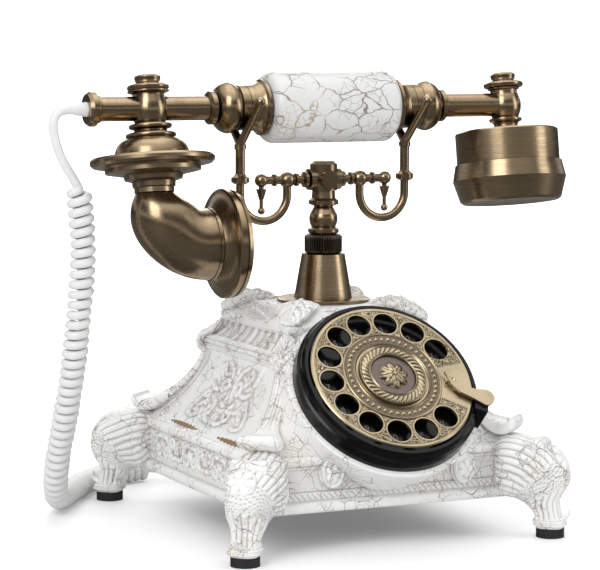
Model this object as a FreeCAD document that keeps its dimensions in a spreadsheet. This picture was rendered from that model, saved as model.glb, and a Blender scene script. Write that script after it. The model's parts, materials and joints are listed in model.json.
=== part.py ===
import FreeCAD, Part
import math
import os

import Sketcher

# An ornate rotary telephone: a cast resin base with a tilted dial, a brass cradle on a
# sprung stem and a brass handset with a crackled grip.
# +Z is up and the dial faces -Y. The origin is on the floor under the middle of the set.

doc = FreeCAD.newDocument("RotaryTelephone")
sheet = doc.addObject("Spreadsheet::Sheet", "Dimensions")

dimensions = {
    # base casting
    "foot_out_x": 12.5,
    "foot_out_y": 13.885,
    "foot_height": 5.0,
    "foot_radius": 7.3,
    "plinth_bottom_z": 20.0,
    "plinth_top_z": 48.0,
    "plinth_half_x": 73.5,
    "plinth_inset": 2.0,
    "skirt_half_x": 71.0,
    "skirt_z": 56.5,
    "waist_half_x": 46.0,
    "waist_z": 88.0,
    "frieze_half_x": 47.3,
    "frieze_top_z": 95.0,
    "neck_half_x": 38.5,
    "neck_z": 104.0,
    "cornice_half_x": 39.8,
    "cornice_top_z": 109.5,
    "roof_half_x": 30.0,
    "roof_z": 116.8,
    "plan_ratio": 1.09,
    "shell_wall": 4.0,
    "leg_thickness": 18.0,
    "base_middle_y": 2.8,
    # bottom plate and what stands on it
    "plate_thickness": 2.0,
    "screw_radius": 1.5,
    "screw_length": 12.0,
    "screw_head_radius": 3.2,
    "screw_head_height": 1.6,
    "gong_radius": 17.0,
    "gong_height": 12.0,
    "gong_wall": 1.2,
    "gong_spacing_half": 20.5,
    "gong_top_z": 70.0,
    "ringer_y": 30.0,
    "board_length": 58.0,
    "board_width": 46.0,
    "board_thickness": 1.6,
    # dial
    "dial_front_y": -82.0,
    "dial_front_z": 86.9,
    "dial_tilt": 43.56,
    "wheel_radius": 43.2,
    "wheel_thickness": 1.6,
    "hole_circle_radius": 33.65,
    "hole_radius": 6.4,
    "hole_pitch": 25.64,
    "first_hole_angle": 26.6,
    "finger_depth": 6.0,
    "bezel_radius": 48.5,
    "bezel_depth": 14.0,
    "bezel_clearance": 1.0,
    "boss_radius": 51.0,
    "boss_bore": 42.0,
    "medallion_radius": 18.5,
    "shaft_radius": 3.0,
    "gear_radius": 14.9,
    "pinion_radius": 3.6,
    "gear_distance": 18.75,
    # cradle
    "flange_radius": 24.5,
    "flange_thickness": 2.0,
    "cone_bottom_radius": 15.4,
    "cone_top_radius": 11.4,
    "cone_top_z": 142.1,
    "knurl_radius": 9.7,
    "knurl_height": 10.4,
    "plunger_radius": 4.5,
    "running_gap": 0.05,
    "crossbar_z": 181.5,
    "crossbar_radius": 2.2,
    "hook_inner_x": 21.2,
    "hook_tube_radius": 2.2,
    "hook_bend_z": 173.6,
    "fork_drop": 19.1,
    "prong_half_spread": 26.0,
    "prong_rise": 22.8,
    "end_ball_x": 36.0,
    # handset
    "handset_axis_z": 219.6,
    "handset_offset_x": 2.0,
    "handset_roll": 9.3,
    "rod_radius": 6.25,
    "grip_radius": 18.75,
    "grip_half_length": 36.7,
    "neck_past_grip": 11.3,
    "mouth_past_neck": 52.6,
    "ear_past_neck": 59.0,
    "elbow_radius": 27.3,
    "saucer_radius": 32.0,
    "bell_radius": 28.3,
    "receiver_radius": 30.85,
    # handset cord
    "cord_radius": 2.35,
    "coil_radius": 6.75,
    # general
    "seat_gap": 0.3,
}


class Size:
    # A value that remembers, as an expression, how it follows from the sheet.
    def __init__(self, value, text):
        self.value = float(value)
        self.text = text

    def combined(self, other, sign, value):
        return Size(value, "(%s %s %s)" % (self.text, sign, other.text))

    def __add__(self, other):
        other = as_size(other)
        return self.combined(other, "+", self.value + other.value)

    def __radd__(self, other):
        return as_size(other) + self

    def __sub__(self, other):
        other = as_size(other)
        return self.combined(other, "-", self.value - other.value)

    def __rsub__(self, other):
        return as_size(other) - self

    def __mul__(self, other):
        other = as_size(other)
        return self.combined(other, "*", self.value * other.value)

    def __rmul__(self, other):
        return as_size(other) * self

    def __truediv__(self, other):
        other = as_size(other)
        return self.combined(other, "/", self.value / other.value)

    def __neg__(self):
        return as_size(0) - self

    def __float__(self):
        return self.value


def as_size(thing):
    if isinstance(thing, Size):
        return thing
    return Size(thing, "%.6f" % thing)


dim = {}
for row_number, (alias, amount) in enumerate(dimensions.items(), start=1):
    sheet.set("A%d" % row_number, alias)
    sheet.set("B%d" % row_number, str(amount))
    sheet.setAlias("B%d" % row_number, alias)
    dim[alias] = Size(amount, "Dimensions." + alias)
doc.recompute()

parts = {}


# ---------------------------------------------------------------- placing

def spot(x, y, z, rotation=None):
    turn = rotation if rotation else FreeCAD.Rotation()
    place = FreeCAD.Vector(float(x), float(y) + float(dim["base_middle_y"]), float(z))
    return FreeCAD.Placement(place, turn)


# Dial frame: local +Z is the dial's outward normal, local +Y runs up its face.
dial_turn = FreeCAD.Rotation(FreeCAD.Vector(1, 0, 0), 90.0 - float(dim["dial_tilt"]))
dial_place = spot(0, dim["dial_front_y"], dim["dial_front_z"], dial_turn)


def on_dial(across, up, depth):
    # depth is measured inwards, behind the front face of the finger wheel
    return dial_place * FreeCAD.Placement(
        FreeCAD.Vector(float(across), float(up), -float(depth)), FreeCAD.Rotation())


# Handset frame: local X along the rod, local -Z towards the mouthpiece.
roll_turn = FreeCAD.Rotation(FreeCAD.Vector(1, 0, 0), -float(dim["handset_roll"]))
handset_place = spot(dim["handset_offset_x"], 0, dim["handset_axis_z"], roll_turn)
along_x = FreeCAD.Rotation(FreeCAD.Vector(0, 1, 0), 90)
along_minus_x = FreeCAD.Rotation(FreeCAD.Vector(0, 1, 0), -90)
upside_down = FreeCAD.Rotation(FreeCAD.Vector(1, 0, 0), 180)


def on_handset(x, drop=0, rotation=None):
    turn = rotation if rotation else FreeCAD.Rotation()
    return handset_place * FreeCAD.Placement(
        FreeCAD.Vector(float(x), 0, -float(drop)), turn)


# ---------------------------------------------------------------- building blocks

def bind(thing, name, size):
    size = as_size(size)
    setattr(thing, name, size.value)
    thing.setExpression(name, size.text)


def keep(thing, label):
    thing.Label = label
    parts[label] = thing
    return thing


def pin_point(sketch, index, end, across, up):
    # holds one sketch point at two sizes measured from the sketch's origin
    for kind, axis, size in (("DistanceX", -2, across), ("DistanceY", -1, up)):
        size = as_size(size)
        if abs(size.value) < 1e-9:
            sketch.addConstraint(Sketcher.Constraint("PointOnObject", index, end, axis))
        else:
            number = sketch.addConstraint(
                Sketcher.Constraint(kind, -1, 1, index, end, size.value))
            sketch.setExpression("Constraints[%d]" % number, size.text)


def arc_between(start, end, radius, side):
    # side +1 bulges to the left of the way from start to end, -1 to the right
    half = (end - start) * 0.5
    reach = half.Length
    normal = FreeCAD.Vector(-half.y, half.x, 0).normalize()
    drop = math.sqrt(max(radius * radius - reach * reach, 0.0))
    centre = start + half - normal * (side * drop)
    first = math.atan2(start.y - centre.y, start.x - centre.x)
    last = math.atan2(end.y - centre.y, end.x - centre.x)
    circle = Part.Circle(centre, FreeCAD.Vector(0, 0, 1), radius)
    if side > 0:
        return Part.ArcOfCircle(circle, last, first), 2
    return Part.ArcOfCircle(circle, first, last), 1


def outline_sketch(sketch, outline):
    # outline: (across, up) points in order, closed; a third and fourth entry give the
    # radius and side of the arc that arrives at that point
    count = len(outline)
    points = [FreeCAD.Vector(float(p[0]), float(p[1]), 0) for p in outline]
    starts = []
    for index in range(count):
        target = outline[(index + 1) % count]
        here, there = points[index], points[(index + 1) % count]
        if len(target) > 2:
            arc, start_end = arc_between(here, there, float(target[2]), target[3])
            sketch.addGeometry(arc, False)
            number = sketch.addConstraint(
                Sketcher.Constraint("Radius", index, float(target[2])))
            sketch.setExpression("Constraints[%d]" % number, as_size(target[2]).text)
        else:
            sketch.addGeometry(Part.LineSegment(here, there), False)
            start_end = 1
        starts.append(start_end)
    for index in range(count):
        after = (index + 1) % count
        sketch.addConstraint(Sketcher.Constraint(
            "Coincident", index, 3 - starts[index], after, starts[after]))
    for index in range(count):
        pin_point(sketch, index, starts[index], outline[index][0], outline[index][1])


def origin_feature(body, role):
    for feature in body.Origin.OriginFeatures:
        if feature.Role == role:
            return feature
    raise ValueError(role)


def body_sketch(body, role, outline):
    sketch = body.newObject("Sketcher::SketchObject", "Outline")
    sketch.AttachmentSupport = [(origin_feature(body, role), "")]
    sketch.MapMode = "FlatFace"
    outline_sketch(sketch, outline)
    return sketch


def turned(label, outline, place):
    # a lathe-turned piece: outline holds (radius, height) points
    body = doc.addObject("PartDesign::Body", "Turned_" + label)
    sketch = body_sketch(body, "XZ_Plane", outline)
    revolution = body.newObject("PartDesign::Revolution", "Revolution")
    revolution.Profile = sketch
    revolution.ReferenceAxis = (sketch, ["V_Axis"])
    revolution.Angle = 360.0
    body.Tip = revolution
    body.Placement = place
    return keep(body, label)


def plate(label, outline, thickness, place, role="XY_Plane", midplane=False):
    body = doc.addObject("PartDesign::Body", "Plate_" + label)
    sketch = body_sketch(body, role, outline)
    pad = body.newObject("PartDesign::Pad", "Pad")
    pad.Profile = sketch
    bind(pad, "Length", thickness)
    pad.Midplane = midplane
    body.Tip = pad
    body.Placement = place
    return body


def box(size_x, size_y, size_z, place, centred=True):
    block = doc.addObject("Part::Box", "Block")
    bind(block, "Length", size_x)
    bind(block, "Width", size_y)
    bind(block, "Height", size_z)
    shift = FreeCAD.Vector(-0.5 * float(size_x), -0.5 * float(size_y), 0)
    block.Placement = place * FreeCAD.Placement(shift if centred else FreeCAD.Vector(),
                                                FreeCAD.Rotation())
    return block


def rod(radius, length, place):
    cylinder = doc.addObject("Part::Cylinder", "Rod")
    bind(cylinder, "Radius", radius)
    bind(cylinder, "Height", length)
    cylinder.Placement = place
    return cylinder


def taper(radius, end_radius, length, place):
    cone = doc.addObject("Part::Cone", "Taper")
    bind(cone, "Radius1", radius)
    bind(cone, "Radius2", end_radius)
    bind(cone, "Height", length)
    cone.Placement = place
    return cone


def ball(radius, place):
    sphere = doc.addObject("Part::Sphere", "Ball")
    bind(sphere, "Radius", radius)
    sphere.Placement = place
    return sphere


def fused(pieces):
    joined = doc.addObject("Part::MultiFuse", "Joined")
    joined.Shapes = pieces
    joined.Refine = True
    return joined


def cut(stock, tool):
    result = doc.addObject("Part::Cut", "Cut")
    result.Base = stock
    result.Tool = tool
    return result


def grouped(pieces):
    # identical separate pieces kept in one node
    group = doc.addObject("Part::Compound", "Group")
    group.Links = pieces
    return group


def dome(width, low, rise):
    # a shallow spherical cap that ends on the axis; rise is negative for a hollow one
    width, rise = as_size(width), as_size(rise)
    radius = (width * width + rise * rise) / (rise * 2.0)
    side = 1 if rise.value > 0 else -1
    return [(width, low), (0, low + rise, radius * side, -side)]


def ring_outline(inner, outer, low, high):
    return [(inner, low), (outer, low), (outer, high), (inner, high)]


# ---------------------------------------------------------------- base casting

def section(half_x, height):
    # one level of the casting: a rectangle whose depth follows from its width
    sketch = doc.addObject("Sketcher::SketchObject", "Level")
    half_y = half_x * dim["plan_ratio"]
    outline_sketch(sketch, [(-half_x, -half_y), (half_x, -half_y),
                            (half_x, half_y), (-half_x, half_y)])
    sketch.Placement = spot(0, 0, height)
    return sketch


def lofted(levels):
    loft = doc.addObject("Part::Loft", "Walls")
    loft.Sections = [section(half_x, height) for half_x, height in levels]
    loft.Solid = True
    loft.Ruled = True
    return loft


foot_half_x = dim["plinth_half_x"] + dim["foot_out_x"]
foot_half_y = dim["plinth_half_x"] * dim["plan_ratio"] + dim["foot_out_y"]
# the handset's necks lie in the forks, and the forks stand on the hooks
neck_x = dim["grip_half_length"] + dim["neck_past_grip"]
mouth_x = neck_x + dim["mouth_past_neck"]
ear_x = neck_x + dim["ear_past_neck"]
fork_base_z = dim["handset_axis_z"] - dim["fork_drop"]


def casting_levels(inset, low, high):
    plinth = dim["plinth_half_x"] - inset
    panel = plinth - dim["plinth_inset"]
    bottom, top = dim["plinth_bottom_z"], dim["plinth_top_z"]
    skirt_z, waist_z = dim["skirt_z"], dim["waist_z"]
    slope = dim["skirt_half_x"] - dim["waist_half_x"]
    return [
        (plinth, low),
        (plinth, bottom + 4.5),
        (panel, bottom + 6.0),
        (panel, top - 4.5),
        (plinth, top - 3.0),
        (plinth, top),
        (plinth - 3.5, top + 0.8),
        (dim["skirt_half_x"] - inset, skirt_z),
        (dim["skirt_half_x"] - inset - slope * 0.42, skirt_z + 3.5),
        (dim["skirt_half_x"] - inset - slope * 0.68, skirt_z + 13.5),
        (dim["waist_half_x"] - inset + 2.0, waist_z - 8.0),
        (dim["waist_half_x"] - inset, waist_z),
        (dim["frieze_half_x"] - inset, waist_z + 1.6),
        (dim["frieze_half_x"] - inset, dim["frieze_top_z"]),
        (dim["neck_half_x"] - inset + 3.5, dim["frieze_top_z"] + 2.5),
        (dim["neck_half_x"] - inset, dim["neck_z"]),
        (dim["cornice_half_x"] - inset, dim["neck_z"] + 1.5),
        (dim["cornice_half_x"] - inset, dim["cornice_top_z"]),
        (dim["roof_half_x"] - inset, high),
    ]


def leg_outline():
    # side view along the diagonal: (outwards from the foot's centre, height)
    sole, top = dim["foot_height"], dim["plinth_top_z"]
    under = dim["plinth_bottom_z"]
    return [
        (-dim["foot_radius"], sole), (dim["foot_radius"], sole), (8.6, sole + 3.5),
        (5.4, sole + 8.5), (6.2, under), (9.6, under + 9.5), (7.6, under + 17.5),
        (0.5, top - 3.5), (-8.0, top + 0.5), (-14.0, top + 4.0), (-25.0, top + 4.0),
        (-25.0, under), (-13.5, under - 2.5), (-7.6, under - 9.0),
    ]


def corners():
    for side_y, row in ((-1, "front"), (1, "rear")):
        for side_x, column in ((-1, "left"), (1, "right")):
            yield side_x, side_y, row + "_" + column


def leg(side_x, side_y):
    angle = math.degrees(math.atan2(side_y, side_x))
    turn = FreeCAD.Rotation(FreeCAD.Vector(0, 0, 1), angle)
    place = spot(foot_half_x * side_x, foot_half_y * side_y, 0, turn)
    return plate("leg", leg_outline(), dim["leg_thickness"], place, "XZ_Plane", True)


post_x = dim["plinth_half_x"] - dim["shell_wall"] - 5.5
post_y = dim["plinth_half_x"] * dim["plan_ratio"] - dim["shell_wall"] - 6.0
plate_low = dim["plinth_bottom_z"] + 1.0
plate_high = plate_low + dim["plate_thickness"]
jack_z = 34.0
jack_half_width = 32.0
jack_half_height = 6.5
rear_wall_y = (dim["plinth_half_x"] - dim["plinth_inset"]) * dim["plan_ratio"]


def base_housing():
    low, roof = dim["plinth_bottom_z"], dim["roof_z"]
    outside = lofted(casting_levels(0.0, low, roof))
    inside = lofted(casting_levels(dim["shell_wall"], low - 1.0, roof - dim["shell_wall"]))
    flip = on_dial(0, 0, dim["bezel_depth"]) * FreeCAD.Placement(
        FreeCAD.Vector(), upside_down)
    boss = taper(dim["boss_radius"], dim["boss_radius"] - 5.0, 45.0, flip)
    room = box(400.0, 400.0, 200.0, spot(0, 0, low + 5.5))
    trimmed = doc.addObject("Part::Common", "Boss")
    trimmed.Base = boss
    trimmed.Tool = room
    legs = [leg(side_x, side_y) for side_x, side_y, name in corners()]
    bore = rod(dim["boss_bore"], 27.0, on_dial(0, 0, dim["bezel_depth"] + 27.0))
    seat = rod(dim["bezel_radius"] + 0.6, 30.0, on_dial(0, 0, dim["bezel_depth"]))
    bush_hole = rod(7.05, 30.0, spot(0, 0, roof - 20.0))
    jack_wall = rear_wall_y - dim["shell_wall"] * 0.5
    jack_hole = box(2.0 * jack_half_width + 0.4, 14.0, 2.0 * jack_half_height + 0.4,
                    spot(0, jack_wall, jack_z - jack_half_height - 0.2))
    hollow = fused([inside, bore, seat, bush_hole, jack_hole])
    shell = cut(fused([outside, trimmed] + legs), hollow)
    posts = []
    for side_x, side_y, name in corners():
        place = spot(post_x * side_x, post_y * side_y, plate_high)
        post = rod(7.0, 18.0, place)
        pilot = rod(dim["screw_radius"] + 0.02, dim["screw_length"] + 1.0, place)
        posts.append(cut(post, pilot))
    wall_room = lofted(casting_levels(0.5, low - 1.0, roof))
    kept_posts = doc.addObject("Part::Common", "Posts")
    kept_posts.Base = grouped(posts)
    kept_posts.Tool = wall_room
    keep(fused([shell, kept_posts]), "base_housing")


def foot_pads():
    pads = []
    for side_x, side_y, name in corners():
        place = spot(foot_half_x * side_x, foot_half_y * side_y, 0)
        pads.append(rod(dim["foot_radius"], dim["foot_height"], place))
    keep(grouped(pads), "foot_pads")


def bottom_plate():
    inner_x = dim["plinth_half_x"] - dim["shell_wall"] - dim["seat_gap"]
    inner_y = (dim["plinth_half_x"] - dim["shell_wall"]) * dim["plan_ratio"] - dim["seat_gap"]
    sheet_metal = box(2.0 * inner_x, 2.0 * inner_y, dim["plate_thickness"],
                      spot(0, 0, plate_low))
    standoffs = []
    for side_x in (-1, 1):
        for side_y in (-1, 1):
            place = spot(board_x + side_x * (dim["board_length"] * 0.5 - 4.0),
                         board_y + side_y * (dim["board_width"] * 0.5 - 4.0), plate_high)
            standoffs.append(rod(2.5, 6.0, place))
    holes = [rod(dim["screw_radius"] + 0.3, 6.0, spot(post_x * sx, post_y * sy, plate_low - 2.0))
             for sx, sy, name in corners()]
    keep(cut(fused([sheet_metal] + standoffs), grouped(holes)), "bottom_plate")


def plate_screws():
    screws = []
    for side_x, side_y, name in corners():
        x, y = post_x * side_x, post_y * side_y
        head = rod(dim["screw_head_radius"], dim["screw_head_height"],
                   spot(x, y, plate_low - dim["screw_head_height"]))
        shank = rod(dim["screw_radius"], dim["plate_thickness"] + dim["screw_length"],
                    spot(x, y, plate_low))
        screws.append(fused([head, shank]))
    keep(grouped(screws), "plate_screws")


board_x = -4.0
board_y = -34.0
board_z = plate_high + 6.0


def circuit_board():
    card = box(dim["board_length"], dim["board_width"], dim["board_thickness"],
               spot(board_x, board_y, board_z))
    chips = [box(12.0, 8.0, 3.0, spot(board_x + step * 17.0, board_y + 6.0,
                                      board_z + dim["board_thickness"]))
             for step in (-1, 0, 1)]
    keep(fused([card] + chips), "circuit_board")


# ---------------------------------------------------------------- ringer

clapper_pivot_z = 42.0
gong_post_radius = 2.5
armature_gap = 0.05


def ringer():
    y = dim["ringer_y"]
    sole = box(50.0, 24.0, 1.5, spot(0, y, plate_high))
    ears = []
    for side in (-1, 1):
        ears.append(box(5.0, 1.5, clapper_pivot_z + 3.0 - plate_high,
                        spot(0, y + side * 8.5, plate_high)))
        post = rod(gong_post_radius, dim["gong_top_z"] - dim["gong_wall"] - plate_high,
                   spot(dim["gong_spacing_half"] * side, y, plate_high))
        nut = rod(2.5, 2.0, spot(dim["gong_spacing_half"] * side, y, dim["gong_top_z"]))
        stud = rod(1.2, 3.0, spot(dim["gong_spacing_half"] * side, y, dim["gong_top_z"] - 1.5))
        ears += [post, nut, stud]
    pin = rod(1.0, 18.0, spot(0, y - 9.0, clapper_pivot_z,
                              FreeCAD.Rotation(FreeCAD.Vector(1, 0, 0), -90)))
    keep(fused([sole, pin] + ears), "ringer_frame")

    coils = []
    coil_low = plate_high + 1.5
    for side in (-1, 1):
        coils.append(rod(6.0, clapper_pivot_z - 4.5 - coil_low, spot(9.5 * side, y, coil_low)))
    keep(grouped(coils), "ringer_coils")

    for side, name in ((-1, "gong_left"), (1, "gong_right")):
        radius, height, wall = dim["gong_radius"], dim["gong_height"], dim["gong_wall"]
        outline = [(1.25, height), (1.25, height - wall), (8.0, height - wall),
                   (radius - wall, height - 6.0), (radius - wall, 0), (radius, 0),
                   (radius, height - 5.4), (8.4, height)]
        turned(name, outline, spot(dim["gong_spacing_half"] * side, y,
                                   dim["gong_top_z"] - height))

    arm = box(26.0, 8.0, 2.4, spot(0, y, clapper_pivot_z - 1.2))
    hub = rod(2.2, 8.0, spot(0, y - 4.0, clapper_pivot_z,
                             FreeCAD.Rotation(FreeCAD.Vector(1, 0, 0), -90)))
    stem = rod(0.8, 18.0, spot(0, y, clapper_pivot_z + 1.5))
    striker = ball(1.8, spot(0, y, clapper_pivot_z + 20.0))
    bore = rod(1.0 + armature_gap, 30.0, spot(0, y - 15.0, clapper_pivot_z,
                                              FreeCAD.Rotation(FreeCAD.Vector(1, 0, 0), -90)))
    keep(cut(fused([arm, hub, stem, striker]), bore), "ringer_clapper")


# ---------------------------------------------------------------- jacks

plug_width = 10.0
plug_height = 7.0
socket_gap = 0.2
handset_jack_x = -22.0
line_jack_x = 22.0
socket_depth = 12.0
panel_front_y = rear_wall_y + 1.4


def rear_jack_panel():
    flange = box(2.0 * jack_half_width + 5.0, 1.2, 2.0 * jack_half_height + 3.0,
                 spot(0, rear_wall_y + 0.8, jack_z - jack_half_height - 1.5))
    body = box(2.0 * jack_half_width, 15.0, 2.0 * jack_half_height,
               spot(0, rear_wall_y - 6.9, jack_z - jack_half_height))
    sockets = []
    for x in (handset_jack_x, line_jack_x):
        sockets.append(box(plug_width + 2.0 * socket_gap, socket_depth + 2.0,
                           plug_height + 2.0 * socket_gap,
                           spot(x, panel_front_y - 0.5 * socket_depth + 1.0,
                                jack_z - 0.5 * plug_height - socket_gap)))
    keep(cut(fused([flange, body]), grouped(sockets)), "rear_jack_panel")


# ---------------------------------------------------------------- dial

def block_place(depth):
    # the finger stop's block sits beside the wheel, a little below the level of its axle
    angle = math.radians(-25.5)
    turn = FreeCAD.Rotation(FreeCAD.Vector(0, 0, 1), math.degrees(angle))
    return on_dial(48.0 * math.cos(angle), 48.0 * math.sin(angle), depth) * FreeCAD.Placement(
        FreeCAD.Vector(), turn)


def dial_case():
    deep, rim = dim["bezel_depth"], dim["bezel_radius"]
    inner = dim["wheel_radius"] + dim["bezel_clearance"]
    floor = dim["finger_depth"] + 1.2
    spigot = dim["boss_bore"] - 0.2
    outline = [
        (spigot - 2.8, -deep - 6.0), (spigot, -deep - 6.0), (spigot, -deep), (rim, -deep),
        (rim, -deep + 7.5), (rim - 1.1, -deep + 8.3), (rim - 1.4, -3.2),
        (rim - 2.6, -1.3), (inner, -1.3), (inner, -floor), (spigot - 2.8, -floor),
    ]
    ring = turned("bezel_ring", outline, dial_place)
    del parts["bezel_ring"]
    notch = box(7.2, 9.4, 14.5, block_place(13.0))
    keep(cut(ring, notch), "dial_bezel")

    turned("number_plate", ring_outline(as_size(5.5), inner - 0.2, -floor,
                                        -dim["finger_depth"]), dial_place)

    chassis_plate = turned("chassis_disc", [
        (dim["shaft_radius"] + dim["running_gap"], -16.0), (5.6, -16.0), (5.6, -11.0),
        (spigot - 3.0, -11.0), (spigot - 3.0, -9.5),
        (dim["shaft_radius"] + dim["running_gap"], -9.5)], dial_place)
    del parts["chassis_disc"]
    rotor_bush = rod(3.0, 1.3, on_dial(-dim["gear_distance"], 0, 12.3))
    rotor_bore = rod(1.25, 8.0, on_dial(-dim["gear_distance"], 0, 14.0))
    keep(cut(fused([chassis_plate, rotor_bush]), rotor_bore), "dial_frame")

    turned("dial_return_spring", ring_outline(as_size(5.7), as_size(10.0), -14.6, -12.2),
           dial_place)

    block = box(7.0, 9.2, 14.2, block_place(13.0))
    keep(block, "finger_stop_block")


def finger_stop():
    # a hooked lever that reaches over the wheel's edge, with a rounded tab outside it
    outline = [
        (28.2, -0.6), (30.4, -5.4), (35.2, -9.9), (41.5, -12.6), (47.0, -13.4),
        (50.6, -17.2, 4.4, 1), (48.6, -21.6, 4.4, 1), (43.8, -22.6, 4.6, 1), (38.4, -17.8), (32.8, -13.8),
        (29.3, -8.4),
    ]
    lever = plate("stop", outline, 1.5, on_dial(0, 0, -1.2))
    keep(lever, "finger_stop")


def finger_wheel():
    radius, thick = dim["wheel_radius"], dim["wheel_thickness"]
    bore = dim["shaft_radius"]
    disc = turned("wheel_disc", [
        (bore, -4.4), (11.0, -4.4), (11.0, -thick), (radius - 0.6, -thick),
        (radius, -thick + 0.5), (radius, -0.5), (radius - 0.6, 0.0), (bore, 0.0)], dial_place)
    del parts["wheel_disc"]
    holes = []
    for index in range(12):
        angle = math.radians(float(dim["first_hole_angle"] + dim["hole_pitch"] * index))
        reach = float(dim["hole_circle_radius"])
        holes.append(rod(dim["hole_radius"], 8.0,
                         on_dial(reach * math.cos(angle), reach * math.sin(angle), 5.0)))
    keep(cut(disc, grouped(holes)), "finger_wheel")

    face = dim["medallion_radius"]
    turned("dial_medallion", [(0, 0), (face, 0), (face, 0.9), (face - 0.6, 1.3),
                              *dome(13.0, as_size(1.3), 1.0)], dial_place)

    gear = dim["gear_radius"]
    turned("dial_shaft", [(0, -23.5), (bore, -23.5), (bore, -21.5), (gear, -21.5),
                          (gear, -19.0), (bore, -19.0), (bore, 0.0), (0, 0.0)], dial_place)

    pinion = dim["pinion_radius"]
    turned("governor_rotor", [(0, 0), (1.2, 0), (1.2, 3.2), (6.4, 3.2), (6.4, 6.4),
                              (1.2, 6.4), (1.2, 9.4), (pinion, 9.4), (pinion, 11.8), (0, 11.8)],
           on_dial(-dim["gear_distance"], 0, 9.7) * FreeCAD.Placement(
               FreeCAD.Vector(), upside_down))


# ---------------------------------------------------------------- cradle support

bush_low_z = 100.0


def stem_support():
    roof, flange_top = dim["roof_z"], dim["roof_z"] + dim["flange_thickness"]
    bore = dim["plunger_radius"] + 0.5
    turned("cone_cover", [
        (bore, roof), (dim["flange_radius"], roof), (dim["flange_radius"], flange_top - 0.4),
        (dim["flange_radius"] - 0.8, flange_top), (dim["cone_bottom_radius"], flange_top),
        (dim["cone_top_radius"], dim["cone_top_z"]), (bore, dim["cone_top_z"])], spot(0, 0, 0))
    knurl_top = dim["cone_top_z"] + dim["knurl_height"]
    knurl = dim["knurl_radius"]
    turned("knurled_collar", [
        (bore - 0.3, dim["cone_top_z"]), (knurl, dim["cone_top_z"]),
        (knurl, knurl_top - 1.5), (knurl - 1.8, knurl_top), (bore - 0.3, knurl_top)],
        spot(0, 0, 0))
    turned("guide_bush", ring_outline(dim["plunger_radius"] + dim["running_gap"],
                                      as_size(7.0), bush_low_z, roof), spot(0, 0, 0))


spring_seat_z = 72.0
plunger_low_z = 88.0
collar_radius = 9.0


def hook_switch():
    roof_inside = dim["roof_z"] - dim["shell_wall"]
    seat = box(36.0, 34.0, 1.5, spot(0, 6.0, spring_seat_z - 1.5))
    pillars = [rod(2.5, roof_inside - spring_seat_z + 1.0, spot(15.0 * side, 0, spring_seat_z - 1.0))
               for side in (-1, 1)]
    keep(fused([seat] + pillars), "switch_bracket")
    body = box(12.0, 9.0, 9.5, spot(0, 17.0, spring_seat_z))
    ears = [box(1.5, 3.0, 6.5, spot(4.0 * side, 20.0, spring_seat_z + 9.0)) for side in (-1, 1)]
    pin = rod(0.8, 9.5, spot(-4.75, 20.0, switch_pivot_z, along_x))
    keep(fused([body, pin] + ears), "hook_switch")
    blade = box(5.2, 13.0, 1.2, spot(0, 13.6, switch_pivot_z - 0.6))
    eye = rod(1.7, 5.2, spot(-2.6, 20.0, switch_pivot_z, along_x))
    bore = rod(0.85, 20.0, spot(-10.0, 20.0, switch_pivot_z, along_x))
    keep(cut(fused([blade, eye]), bore), "switch_lever")
    turned("hook_spring", ring_outline(as_size(4.6), as_size(5.9), spring_seat_z + 0.02,
                                       plunger_low_z - 0.02), spot(0, 0, 0))


switch_pivot_z = 86.6


# ---------------------------------------------------------------- cradle

def cradle_stem():
    shaft = dim["plunger_radius"]
    low = dim["cone_top_z"] + dim["knurl_height"] + dim["seat_gap"]
    hub_low = dim["crossbar_z"] - 5.8
    outline = [
        (0, plunger_low_z), (collar_radius, plunger_low_z), (collar_radius, plunger_low_z + 2.0),
        (shaft, plunger_low_z + 2.0), (shaft, low), (7.4, low), (8.2, low + 0.9),
        (8.2, low + 2.4), (6.4, low + 3.6), (7.0, low + 10.5, 8.2, -1), (4.9, low + 14.4),
        (7.9, low + 15.6), (7.9, low + 17.6), (6.3, low + 18.8), (6.0, hub_low), (0, hub_low),
    ]
    turned("cradle_stem", outline, spot(0, 0, 0))


def cradle_hub():
    z = dim["crossbar_z"]
    vertical = rod(7.2, 13.8, spot(0, 0, z - 5.8))
    cap = taper(7.2, 5.2, 1.6, spot(0, 0, z + 8.0))
    side_boss = rod(5.6, 18.0, spot(-9.0, 0, z, along_x))
    front_boss = rod(4.9, 17.0, spot(0, 8.5, z, FreeCAD.Rotation(FreeCAD.Vector(1, 0, 0), 90)))
    bar_hole = rod(dim["crossbar_radius"], 40.0, spot(-20.0, 0, z, along_x))
    keep(cut(fused([vertical, cap, side_boss, front_boss]), bar_hole), "cradle_hub")


def crossbar_outline():
    # one half of the turned bar: (radius, distance from its middle)
    bar, inner, outer = dim["crossbar_radius"], dim["hook_inner_x"], dim["end_ball_x"]
    return [
        (0, 0), (bar, 0), (bar, 10.0), (4.2, 10.0), (4.2, 11.6), (bar, 12.4), (bar, 14.8),
        (3.4, 15.2), (3.4, 16.6), (bar, 17.2), (bar, inner - 3.6), (bar, inner + 3.6, 4.2, -1),
        (bar, 27.6), (3.2, 28.0), (3.2, 29.2), (bar, 29.8), (bar, outer), (0, outer),
    ]


def cradle_crossbar():
    halves = []
    for turn, name in ((along_x, "bar_right"), (along_minus_x, "bar_left")):
        halves.append(turned(name, crossbar_outline(), spot(0, 0, dim["crossbar_z"], turn)))
        del parts[name]
    for side in (-1, 1):
        halves.append(ball(3.5, spot(dim["end_ball_x"] * side, 0, dim["crossbar_z"])))
    keep(fused(halves), "cradle_crossbar")


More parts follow.
